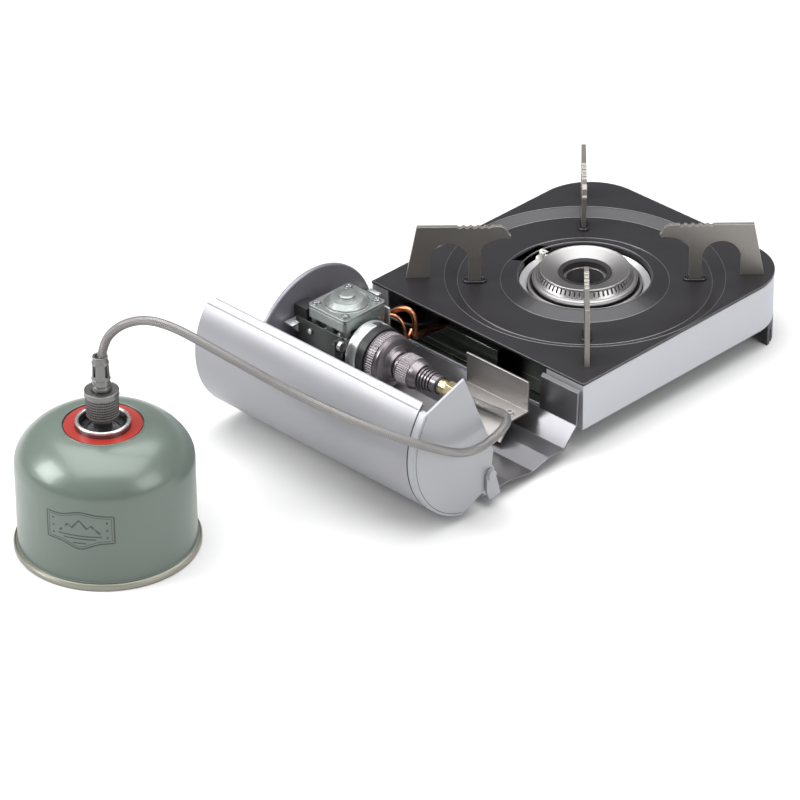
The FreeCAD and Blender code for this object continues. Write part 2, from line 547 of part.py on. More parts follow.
def make_gas_pipe():
    """Copper pipe from the regulator to the jet, in straight runs with ball corners."""
    points = [V(32.8, 30, 46), V(22, 30, 46), V(10, 33, 36), V(-8, 41, JET_Z), V(-19, 47.5, JET_Z)]
    pieces = []
    for a, b in zip(points[:-1], points[1:]):
        run = b.sub(a)
        pieces.append(Part.makeCylinder(1.8, run.Length, a, run))
        pieces.append(Part.makeSphere(1.8, b))
    loop = [V(30, 36, 52), V(14, 38, 53), V(8, 42, 44), V(14, 46, 34)]
    lead = []
    for a, b in zip(loop[:-1], loop[1:]):
        run = b.sub(a)
        lead.append(Part.makeCylinder(1.1, run.Length, a, run))
        lead.append(Part.makeSphere(1.1, b))
    pipe = fuse(pieces[0], *pieces[1:])
    jet = Part.makeCylinder(3.0, 6.0, points[-1] + JET_RUN * 1.9, JET_RUN)
    return {"gas_pipe": pipe, "gas_jet": jet, "thermal_lead": fuse(lead[0], *lead[1:])}


def make_piezo():
    unit = block(56.0, 0.4, 52.0, 68.0, 11.0, 60.0)
    return {"piezo_unit": unit}


# ---- adapter ------------------------------------------------------------------------------------
def make_adapter():
    along = (0, 1, 0)
    gasket = tube(AXIS_X, 56.7, AXIS_Z, 18.6, 4.0, 5.7)
    disc = fuse(knurl(17.0, 6.3, AXIS_X, 62.7, AXIS_Z, along, 64),
                turned([(0, 0), (16.3, 0), (16.8, 1.2), (16.8, 3.0), (15.6, 4.2), (12.0, 5.4), (9.2, 7.2),
                        (8.6, 9.0), (0, 9.0)], (AXIS_X, 68.9, AXIS_Z), along),
                rod(AXIS_X, 77.8, AXIS_Z, 7.0, 18.4))
    collar = fuse(knurl(10.3, 9.8, AXIS_X, 82.2, AXIS_Z, along, 48),
                  turned([(0, 0), (9.9, 0), (9.4, 3.0), (8.4, 6.4), (0, 6.4)], (AXIS_X, 91.9, AXIS_Z), along),
                  rod(AXIS_X, 80.8, AXIS_Z, 9.4, 1.5))
    collar = collar.cut(rod(AXIS_X, 76, AXIS_Z, 7.0 + RUN_GAP, 40))
    neck = rod(AXIS_X, 96.4, AXIS_Z, 5.2, 11.2)
    for i in range(NECK_FINS):
        neck = neck.fuse(rod(AXIS_X, 98.8 + 2.3 * i, AXIS_Z, 7.2 - 0.2 * i, 1.2))
    nut = turned([(0, 0), (6.0, 0), (6.0, 4.0), (5.2, 4.9), (0, 4.9)], (AXIS_X, 107.7, AXIS_Z), along)
    hexagon = [arc_point(5.8, 60 * i, AXIS_X, AXIS_Z) for i in range(6)]
    fitting = fuse(rod(AXIS_X, 112.7, AXIS_Z, 4.7, 6.4), plate_xz(hexagon, 119.0, 124.8),
                   rod(AXIS_X, 124.6, AXIS_Z, 3.9, 3.4))
    return {"adapter_gasket": gasket, "adapter_disc": disc, "adapter_collar": collar, "adapter_neck": neck,
            "adapter_nut": nut, "hose_fitting": fitting}


# ---- hose ---------------------------------------------------------------------------------------
def make_hose():
    """Braided hose as straight runs joined by tangent arcs; reports each bend and the volume."""
    points = [V(*p) for p in HOSE_ROUTE]
    edges = []
    here = points[0]
    length = 0.0
    for before, corner, after in zip(points[:-2], points[1:-1], points[2:]):
        into = corner.sub(before)
        out = after.sub(corner)
        turn = into.getAngle(out)
        tangent = 0.45 * min(into.Length, out.Length)
        radius = tangent / math.tan(turn / 2)
        start = corner - V(into).normalize() * tangent
        end = corner + V(out).normalize() * tangent
        inward = (V(out).normalize() - V(into).normalize()).normalize()
        middle = corner + inward * (radius / math.cos(turn / 2) - radius)
        edges.append(Part.makeLine(here, start))
        edges.append(Part.Arc(start, middle, end).toShape())
        length += (start - here).Length + radius * turn
        here = end
        print("hose bend: turn %.0f deg, radius %.1f mm" % (math.degrees(turn), radius))
    edges.append(Part.makeLine(here, points[-1]))
    length += (points[-1] - here).Length
    spine = Part.Wire(edges)
    ring = Part.Wire(Part.makeCircle(HOSE_D / 2, points[0], points[1].sub(points[0])))
    hose = spine.makePipeShell([ring], True, False)
    print("hose length %.1f mm, volume %.0f, section x length %.0f"
          % (length, hose.Volume, math.pi * HOSE_D ** 2 / 4 * length))
    return hose


# ---- canister and its connector -----------------------------------------------------------------
def make_connector():
    """Parts on the canister's axis, with heights from the canister's top edge."""
    up = (0, 0, 1)
    top = CAN_TOP_Z
    bore = HOSE_D / 2
    sleeve = turned([(bore + 0.02, 31.0), (5.4, 31.0), (4.9, 42.0), (4.3, 46.5), (bore + 0.3, 46.5),
                     (bore + 0.3, 31.2)], (CAN_X, CAN_Y, top))
    body = fuse(rod(CAN_X, CAN_Y, top + 4.2, 5.0, 20.8, up), rod(CAN_X, CAN_Y, top + 24.9, 6.2, 2.2, up),
                rod(CAN_X, CAN_Y, top + 27.0, 5.3, 4.0, up))
    slot = block(CAN_X - 1.0, CAN_Y + 3.6, top + 33.5, CAN_X + 1.0, CAN_Y + 7, top + 41.0)
    sleeve = sleeve.cut(Part.makeCompound(ring_copies(slot, 4, CAN_X, CAN_Y)))
    collar = knurl(9.8, 13.5, CAN_X, CAN_Y, top + 7.0, up, 44)
    collar = fuse(collar, rod(CAN_X, CAN_Y, top + 20.4, 10.4, 3.2, up),
                  turned([(0, 0), (8.2, 0), (9.4, 2.6), (0, 2.6)], (CAN_X, CAN_Y, top + 4.5)))
    collar = collar.cut(rod(CAN_X, CAN_Y, top - 4, 5.0 + RUN_GAP, 40, up))
    return {"hose_sleeve": sleeve, "connector_body": body, "valve_collar": collar}


def shoulder_arcs(inward):
    """The two tangent arcs of the canister's shoulder, each as (start, middle, end) in radius and height."""
    turn = math.radians(CAN_TURN)
    level = math.radians(86.0)
    r1 = CAN_SHOULDER_R
    centre_r = CAN_R - r1
    join_r = centre_r + r1 * math.cos(turn)
    r2 = (join_r - CAN_MOUTH_R) / (math.cos(turn) - math.cos(level))
    wide_r = join_r - r2 * math.cos(turn)
    wide_z = CAN_TOP_Z - r2 * math.sin(level)
    centre_z = wide_z + (r2 - r1) * math.sin(turn)

    def on(cr, cz, radius, angle):
        return (cr + (radius - inward) * math.cos(angle), cz + (radius - inward) * math.sin(angle))

    tight = [on(centre_r, centre_z, r1, a) for a in (0.0, turn / 2, turn)]
    wide = [on(wide_r, wide_z, r2, a) for a in (turn, (turn + level) / 2, level)]
    return tight, wide


def make_canister():
    centre = (CAN_X, CAN_Y, 0)
    top = (CAN_X, CAN_Y, CAN_TOP_Z)
    outer_tight, outer_wide = shoulder_arcs(0.0)
    inner_tight, inner_wide = shoulder_arcs(CAN_WALL)

    def arc(points):
        return Part.Arc(*[V(r, 0, z) for r, z in points]).toShape()

    well = [outer_wide[2], (24.0, CAN_TOP_Z - 1.6), (15.6, CAN_TOP_Z - 2.4), (15.6, CAN_TOP_Z - 3.2),
            (24.6, CAN_TOP_Z - 2.5), inner_wide[2]]
    edges = [Part.makeLine(V(CAN_R, 0, CAN_SEAM_Z), V(CAN_R, 0, outer_tight[0][1])),
             arc(outer_tight), arc(outer_wide)]
    for p, q in zip(well[:-1], well[1:]):
        edges.append(Part.makeLine(V(p[0], 0, p[1]), V(q[0], 0, q[1])))
    inside_r = CAN_R - CAN_WALL
    edges += [arc(inner_wide[::-1]), arc(inner_tight[::-1]),
              Part.makeLine(V(inside_r, 0, inner_tight[0][1]), V(inside_r, 0, CAN_SEAM_Z)),
              Part.makeLine(V(inside_r, 0, CAN_SEAM_Z), V(CAN_R, 0, CAN_SEAM_Z))]
    shell = Part.Face(Part.Wire(edges)).revolve(V(0, 0, 0), V(0, 0, 1), 360)
    shell.translate(V(*centre))
    rim = turned([(CAN_R - 1.9, 0.0), (CAN_RIM_R - 0.5, 0.0), (CAN_RIM_R, 0.8), (CAN_RIM_R, 3.0),
                  (CAN_R + 0.4, CAN_SEAM_Z - 0.05), (CAN_R - 1.9, CAN_SEAM_Z - 0.05)], centre)
    concave = turned([(0, 9.0), (30, 7.0), (CAN_R - 1.5, 1.6), (CAN_R - 1.5, 0.2), (29, 5.6), (0, 7.6)],
                     centre)
    rim = fuse(rim, concave)
    red = turned([(16.6, -1.6), (23.4, -1.0), (23.4, -0.1), (16.6, -0.7)], top)
    cup = turned([(9.8, -3.1), (14.4, -3.1), (14.8, 1.6), (15.6, 3.0), (16.2, 2.0), (16.4, -1.8),
                  (15.4, -1.8), (15.4, -4.1), (9.8, -4.1)], top)
    cup = fuse(cup, turned([(4.6, -4.1), (9.9, -4.1), (9.9, -3.1), (5.6, -3.1), (5.6, 3.6), (4.6, 3.6)], top))
    stem = turned([(0, -8.0), (3.2, -8.0), (3.2, -4.0), (1.8, -3.0), (1.8, 2.0), (0, 2.0)], top)
    seal = turned([(2.0, 2.2), (4.4, 2.2), (4.4, 3.8), (2.0, 3.8)], top)
    return {"canister_shell": shell, "canister_base": rim, "canister_label_ring": red, "valve_cup": cup,
            "valve_stem": stem, "valve_seal": seal}


# ---- assembly -----------------------------------------------------------------------------------
def build_nodes():
    nodes = {
        "top_plate": make_top_plate(),
        "body_shell": make_body_shell(),
        "base_pan": make_base_pan(),
        "corner_foot_front": make_corner_foot(True),
        "corner_foot_rear": make_corner_foot(False),
        "inner_bulkhead": make_inner_bulkhead(),
        "mixing_tube": make_mixing_tube(),
        "cartridge_tray": make_tray(),
        "heat_panel": make_heat_panel(),
        "heat_panel_screw": make_heat_panel_screw(),
        "front_panel": make_front_panel(),
        "hose": make_hose(),
    }
    for i, angle in enumerate(SUPPORT_ANGLES):
        nodes["pot_support_%d" % (i + 1)] = make_pot_support(angle)
    groups = (make_burner, make_igniter, make_hinge_parts, make_tray_feet, make_lid, make_controls,
              make_regulator, make_gas_pipe, make_piezo, make_adapter, make_connector, make_canister)
    for make in groups:
        nodes.update(make())
    return nodes


def main():
    os.makedirs("parts", exist_ok=True)
    for name, shape in build_nodes().items():
        shape.translate(SHIFT)
        state = "ok" if shape.isValid() and len(shape.Solids) > 0 else "BAD"
        print("%-22s %s solids %d volume %.0f" % (name, state, len(shape.Solids), shape.Volume))
        shape.exportStep("parts/%s.step" % name)


main()
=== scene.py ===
import json
import logging
import math
from dataclasses import dataclass
from enum import Enum
from typing import Iterable, Sequence

import bmesh
import bpy
from mathutils import Matrix, Vector


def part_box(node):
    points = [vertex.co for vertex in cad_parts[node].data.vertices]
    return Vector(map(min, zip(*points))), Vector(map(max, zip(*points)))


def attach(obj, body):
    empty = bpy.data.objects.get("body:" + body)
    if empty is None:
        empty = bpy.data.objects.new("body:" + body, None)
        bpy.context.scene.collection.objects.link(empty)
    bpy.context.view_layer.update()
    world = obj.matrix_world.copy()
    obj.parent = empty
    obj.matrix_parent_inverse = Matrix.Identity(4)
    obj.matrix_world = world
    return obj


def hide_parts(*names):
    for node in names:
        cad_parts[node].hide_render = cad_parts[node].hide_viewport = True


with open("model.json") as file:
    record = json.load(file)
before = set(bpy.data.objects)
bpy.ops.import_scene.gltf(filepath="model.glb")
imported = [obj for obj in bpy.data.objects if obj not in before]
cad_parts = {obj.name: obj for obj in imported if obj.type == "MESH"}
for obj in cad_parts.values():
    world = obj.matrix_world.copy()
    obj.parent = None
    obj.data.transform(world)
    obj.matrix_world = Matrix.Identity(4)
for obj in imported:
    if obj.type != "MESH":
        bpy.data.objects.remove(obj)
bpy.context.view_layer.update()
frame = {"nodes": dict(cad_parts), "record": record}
LOG = logging.getLogger("stove")

MM = 0.001
MICRON = 1e-6
TINY = 1e-6
# front corner of the hob plate beside the cartridge bay, at table height
ORIGIN = Vector((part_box("top_plate")[1].x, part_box("top_plate")[0].y, 0.0))

PLACING = Matrix.Translation(ORIGIN) @ Matrix.Scale(MM, 4)
SHARP_EDGE = 50.0  # degrees; blocks and rods are bevelled where they bend more
WELD = 1e-5  # millimetres; nearer vertices are merged
UPRIGHT = 0.9  # a path steeper than this is turned from X, and not from Z
PIPE_STEPS = 8
WAVE_WIDTH = 0.2  # width of the badge's middle bulge, as a share of the badge

Point = Sequence[float]
Pair = tuple[float, float]
Colour = tuple[float, float, float]
Ring = tuple[float, float, float]  # radius, place along the axis, radius of the section
Block = tuple[Point, Point, float]  # lowest corner, highest corner, bevel
Frame = tuple[Vector, Vector, Vector]  # point of a path, and two directions across it
Socket = bpy.types.NodeSocket


def at(x: float, y: float, z: float) -> Vector:
    """Turn stove millimetres into the frame's metres.

    Args:
        x: Distance from the hob plate's inner edge towards the cartridge bay.
        y: Distance from the hob plate's front edge towards the back.
        z: Height above the table.

    Returns:
        The point in the frame, in metres.
    """
    return ORIGIN + Vector((x, y, z)) * MM


# ---- materials ----------------------------------------------------------------------------------
class Grain(Enum):
    """Surface structure of a finish."""

    PAINT = "paint"
    BRUSHED = "brushed"
    TURNED = "turned"
    CAST = "cast"
    MOULDED = "moulded"
    POLISHED = "polished"


# octaves of noise in each structure
OCTAVES = {
    Grain.PAINT: 2.0, Grain.BRUSHED: 4.0, Grain.TURNED: 2.0, Grain.CAST: 6.0, Grain.MOULDED: 5.0,
    Grain.POLISHED: 2.0,
}
MOTTLE_SCALE = 28.0  # broad patches per metre, in every finish
MOTTLE_OCTAVES = 5.0
FINE_SHARE = 0.35  # how much the fine structure adds to the broad patches
MOTTLE_BAND = (0.2, 1.15)  # values that their sum takes
ROUGHNESS_SWING = (0.8, 1.2)
STREAK = 0.03  # how much a brushed streak is stretched
LUMP_RATIO = 6.0  # fine features in one lump of a casting
LUMP_SHARE = 0.8
EDGE_BAND = (0.86, 0.99)  # how far a rounded edge's normal turns where it is worn, as a cosine
EDGE_TONE = 2.2  # how much lighter a fully worn edge is
COAT_ROUGHNESS = 0.06


class Graph:
    """Node tree of one material, with short ways to add what the finishes share."""

    def __init__(self, name: str) -> None:
        self.material = bpy.data.materials.new(name)
        self.material.use_nodes = True
        self.tree = self.material.node_tree
        self.shader = next(n for n in self.tree.nodes if n.type == "BSDF_PRINCIPLED")
        coordinates = self.add("ShaderNodeTexCoord")
        self.place = coordinates.outputs["Object"]
        self.chart = coordinates.outputs["UV"]

    def add(self, kind: str, **settings: object) -> bpy.types.Node:
        """Add a node.

        Args:
            kind: Blender's name for the node type.
            **settings: Attributes to set on it.

        Returns:
            The new node.
        """
        node = self.tree.nodes.new(kind)
        for key, value in settings.items():
            setattr(node, key, value)
        return node

    def link(self, source: Socket, target: Socket) -> None:
        """Join an output to an input.

        Args:
            source: Output socket.
            target: Input socket.
        """
        self.tree.links.new(source, target)

    def stretched(self, source: Socket, scale: Point, turn: float) -> Socket:
        """Scale and turn coordinates.

        Args:
            source: Coordinates.
            scale: Factor along each axis.
            turn: Degrees about Z.

        Returns:
            The mapped coordinates.
        """
        mapping = self.add("ShaderNodeMapping")
        mapping.inputs["Scale"].default_value = scale
        mapping.inputs["Rotation"].default_value = (0.0, 0.0, math.radians(turn))
        self.link(source, mapping.inputs["Vector"])
        return mapping.outputs["Vector"]

    def noise(self, source: Socket, scale: float, detail: float = 3.0) -> Socket:
        """Smooth noise.

        Args:
            source: Coordinates.
            scale: Features per metre.
            detail: Octaves.

        Returns:
            A value from 0 to 1.
        """
        node = self.add("ShaderNodeTexNoise")
        node.inputs["Scale"].default_value = scale
        node.inputs["Detail"].default_value = detail
        self.link(source, node.inputs["Vector"])
        return node.outputs["Fac"]

    def spread(self, value: Socket, band: Pair, result: Pair) -> Socket:
        """Map a band of a value to a new range.

        Args:
            value: Input value.
            band: Lower and upper end of the band.
            result: What they become.

        Returns:
            The mapped value.
        """
        node = self.add("ShaderNodeMapRange")
        for name, number in zip(("From Min", "From Max", "To Min", "To Max"), (*band, *result)):
            node.inputs[name].default_value = number
        self.link(value, node.inputs["Value"])
        return node.outputs["Result"]

    def sum(self, first: Socket, second: Socket, share: float) -> Socket:
        """Add a share of one value to another.

        Args:
            first: Value taken whole.
            second: Value taken in part.
            share: How much of the second.

        Returns:
            The sum.
        """
        node = self.add("ShaderNodeMath", operation="MULTIPLY_ADD")
        self.link(second, node.inputs[0])
        node.inputs[1].default_value = share
        self.link(first, node.inputs[2])
        return node.outputs[0]

    def relieve(self, height: Socket, depth: float, normal: Socket | None = None) -> None:
        """Raise the surface by a height.

        Args:
            height: Height, from 0 to 1.
            depth: What a height of 1 stands for, in metres.
            normal: Normal that the relief starts from, if it isn't the mesh's own.
        """
        bump = self.add("ShaderNodeBump")
        bump.inputs["Distance"].default_value = depth
        self.link(height, bump.inputs["Height"])
        if normal:
            self.link(normal, bump.inputs["Normal"])
        self.link(bump.outputs["Normal"], self.shader.inputs["Normal"])

    def blend(self, factor: Socket, first: Colour | Socket, second: Colour) -> Socket:
        """Mix two colours.

        Args:
            factor: 0 for the first, 1 for the second.
            first: A colour, or a socket that gives one.
            second: A colour.

        Returns:
            The mixed colour.
        """
        node = self.add("ShaderNodeMix", data_type="RGBA")
        inputs = [s for s in node.inputs if s.type == "RGBA"]
        self.link(factor, node.inputs["Factor"])
        if isinstance(first, tuple):
            inputs[0].default_value = (*first, 1.0)
        else:
            self.link(first, inputs[0])
        inputs[1].default_value = (*second, 1.0)
        return next(s for s in node.outputs if s.type == "RGBA")


@dataclass(frozen=True)
class Finish:
    """How one material looks.

    Attributes:
        colour: Middle colour, linear.
        roughness: Middle roughness.
        metallic: 0 for plastic or paint, 1 for bare metal.
        grain: Surface structure.
        scale: Fine features per metre.
        depth: Height of the fine features, in micrometres.
        shift: How far the colour wanders, as a share.
        coat: Clear coat.
        edge: How much lighter worn edges are.
        rounding: Radius that the light sees on sharp edges, in millimetres.
        turn: Direction of brushing about Z, in degrees.
        flat: Brushed streaks lie level, and not upright.
        centre: Node whose middle a turned finish circles.
    """

    colour: Colour
    roughness: float
    metallic: float = 0.0
    grain: Grain = Grain.PAINT
    scale: float = 1500.0
    depth: float = 20.0
    shift: float = 0.08
    coat: float = 0.0
    edge: float = 0.25
    rounding: float = 0.5
    turn: float = 0.0
    flat: bool = True
    centre: str = ""

    def tone(self, factor: float) -> Colour:
        """The colour made lighter or darker.

        Args:
            factor: Multiplier.

        Returns:
            A colour with no channel above 1.
        """
        return tuple(min(1.0, c * factor) for c in self.colour)

    def from_axis(self, graph: Graph) -> Socket:
        """Distance from the axis that a turned finish circles.

        Args:
            graph: Material that it belongs to.

        Returns:
            The distance, in metres.
        """
        low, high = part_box(self.centre)
        shift = graph.add("ShaderNodeVectorMath", operation="SUBTRACT")
        graph.link(graph.place, shift.inputs[0])
        shift.inputs[1].default_value = (low + high) / 2
        flatten = graph.add("ShaderNodeVectorMath", operation="MULTIPLY")
        graph.link(shift.outputs[0], flatten.inputs[0])
        flatten.inputs[1].default_value = (1.0, 1.0, 0.0) if self.flat else (1.0, 0.0, 1.0)
        length = graph.add("ShaderNodeVectorMath", operation="LENGTH")
        graph.link(flatten.outputs[0], length.inputs[0])
        return length.outputs["Value"]

    def relief(self, graph: Graph) -> Socket:
        """Height of the fine structure.

        Args:
            graph: Material that it belongs to.

        Returns:
            A value from about 0 to 1.
        """
        source = graph.place
        if self.grain is Grain.BRUSHED:
            streaks = (STREAK, 1.0, 1.0) if self.flat else (1.0, 1.0, STREAK)
            source = graph.stretched(source, streaks, self.turn)
        elif self.grain is Grain.TURNED:
            source = self.from_axis(graph)
        fine = graph.noise(source, self.scale, OCTAVES[self.grain])
        if self.grain is Grain.CAST:
            return graph.sum(fine, graph.noise(source, self.scale / LUMP_RATIO), LUMP_SHARE)
        return fine

    def worn(self, graph: Graph, colour: Socket, normal: Socket) -> Socket:
        """Lighten the colour on rounded edges.

        Args:
            graph: Material that it belongs to.
            colour: Colour of the flat surface.
            normal: Normal of the rounded surface.

        Returns:
            The colour.
        """
        geometry = graph.add("ShaderNodeNewGeometry")
        bend = graph.add("ShaderNodeVectorMath", operation="DOT_PRODUCT")
        graph.link(normal, bend.inputs[0])
        graph.link(geometry.outputs["Normal"], bend.inputs[1])
        wear = graph.spread(bend.outputs["Value"], EDGE_BAND, (self.edge, 0.0))
        return graph.blend(wear, colour, self.tone(EDGE_TONE))

    def build(self, name: str) -> bpy.types.Material:
        """Make the material.

        Args:
            name: Name of the material.

        Returns:
            The material.
        """
        graph = Graph(name)
        inputs = graph.shader.inputs
        fine = self.relief(graph)
        mottle = graph.sum(graph.noise(graph.place, MOTTLE_SCALE, MOTTLE_OCTAVES), fine, FINE_SHARE)
        shade = graph.spread(mottle, MOTTLE_BAND, (0.0, 1.0))
        colour = graph.blend(shade, self.tone(1 - self.shift), self.tone(1 + self.shift))
        normal = None
        if self.rounding > 0:
            bevel = graph.add("ShaderNodeBevel", samples=4)
            bevel.inputs["Radius"].default_value = self.rounding * MM
            normal = bevel.outputs["Normal"]
        if normal and self.edge > 0:
            colour = self.worn(graph, colour, normal)
        graph.link(colour, inputs["Base Color"])
        smooth, rough = (self.roughness * swing for swing in ROUGHNESS_SWING)
        graph.link(graph.spread(mottle, MOTTLE_BAND, (smooth, rough)), inputs["Roughness"])
        inputs["Metallic"].default_value = self.metallic
        if self.coat > 0:
            inputs["Coat Weight"].default_value = self.coat
            inputs["Coat Roughness"].default_value = COAT_ROUGHNESS
        graph.relieve(fine, self.depth * MICRON, normal)
        return graph.material


@dataclass(frozen=True)
class BraidFinish:
    """Woven steel wire over a hose, charted by turns round it and millimetres along it.

    Attributes:
        colour: Colour of the wire.
        gap: Colour between the wires.
        strands: Wire bundles each way round the hose.
        pitch: Length of one full turn of a bundle, in millimetres.
        depth: Height of a bundle, in micrometres.
        grit: Fine features per metre on the wires.
        grit_share: How much they add to the height.
        valley: Wave value at which the gap is deepest.
        roughness: Roughness in the gap and on the wire.
    """

    colour: Colour = (0.4, 0.385, 0.38)
    gap: Colour = (0.025, 0.023, 0.022)
    strands: int = 9
    pitch: float = 12.0
    depth: float = 250.0
    grit: float = 4000.0
    grit_share: float = 0.15
    valley: float = -0.3
    roughness: Pair = (0.5, 0.24)

    def wave(self, graph: Graph, sign: float) -> Socket:
        """One family of bundles.

        Args:
            graph: Material that it belongs to.
            sign: Direction of winding.

        Returns:
            A value from -1 to 1.
        """
        turns = graph.add("ShaderNodeVectorMath", operation="DOT_PRODUCT")
        graph.link(graph.chart, turns.inputs[0])
        rate = 2 * math.pi * self.strands
        turns.inputs[1].default_value = (rate, sign * rate / self.pitch, 0.0)
        sine = graph.add("ShaderNodeMath", operation="SINE")
        graph.link(turns.outputs["Value"], sine.inputs[0])
        return sine.outputs[0]

    def build(self, name: str) -> bpy.types.Material:
        """Make the material.

        Args:
            name: Name of the material.

        Returns:
            The material.
        """
        graph = Graph(name)
        left, right = self.wave(graph, 1.0), self.wave(graph, -1.0)
        weave = graph.add("ShaderNodeMath", operation="MAXIMUM")
        graph.link(left, weave.inputs[0])
        graph.link(right, weave.inputs[1])
        bundles = graph.spread(weave.outputs[0], (self.valley, 1.0), (0.0, 1.0))
        height = graph.sum(bundles, graph.noise(graph.place, self.grit), self.grit_share)
        graph.link(graph.blend(height, self.gap, self.colour), graph.shader.inputs["Base Color"])
        graph.link(graph.spread(height, (0.0, 1.0), self.roughness), graph.shader.inputs["Roughness"])
        graph.shader.inputs["Metallic"].default_value = 1.0
        graph.relieve(height, self.depth * MICRON)
        return graph.material


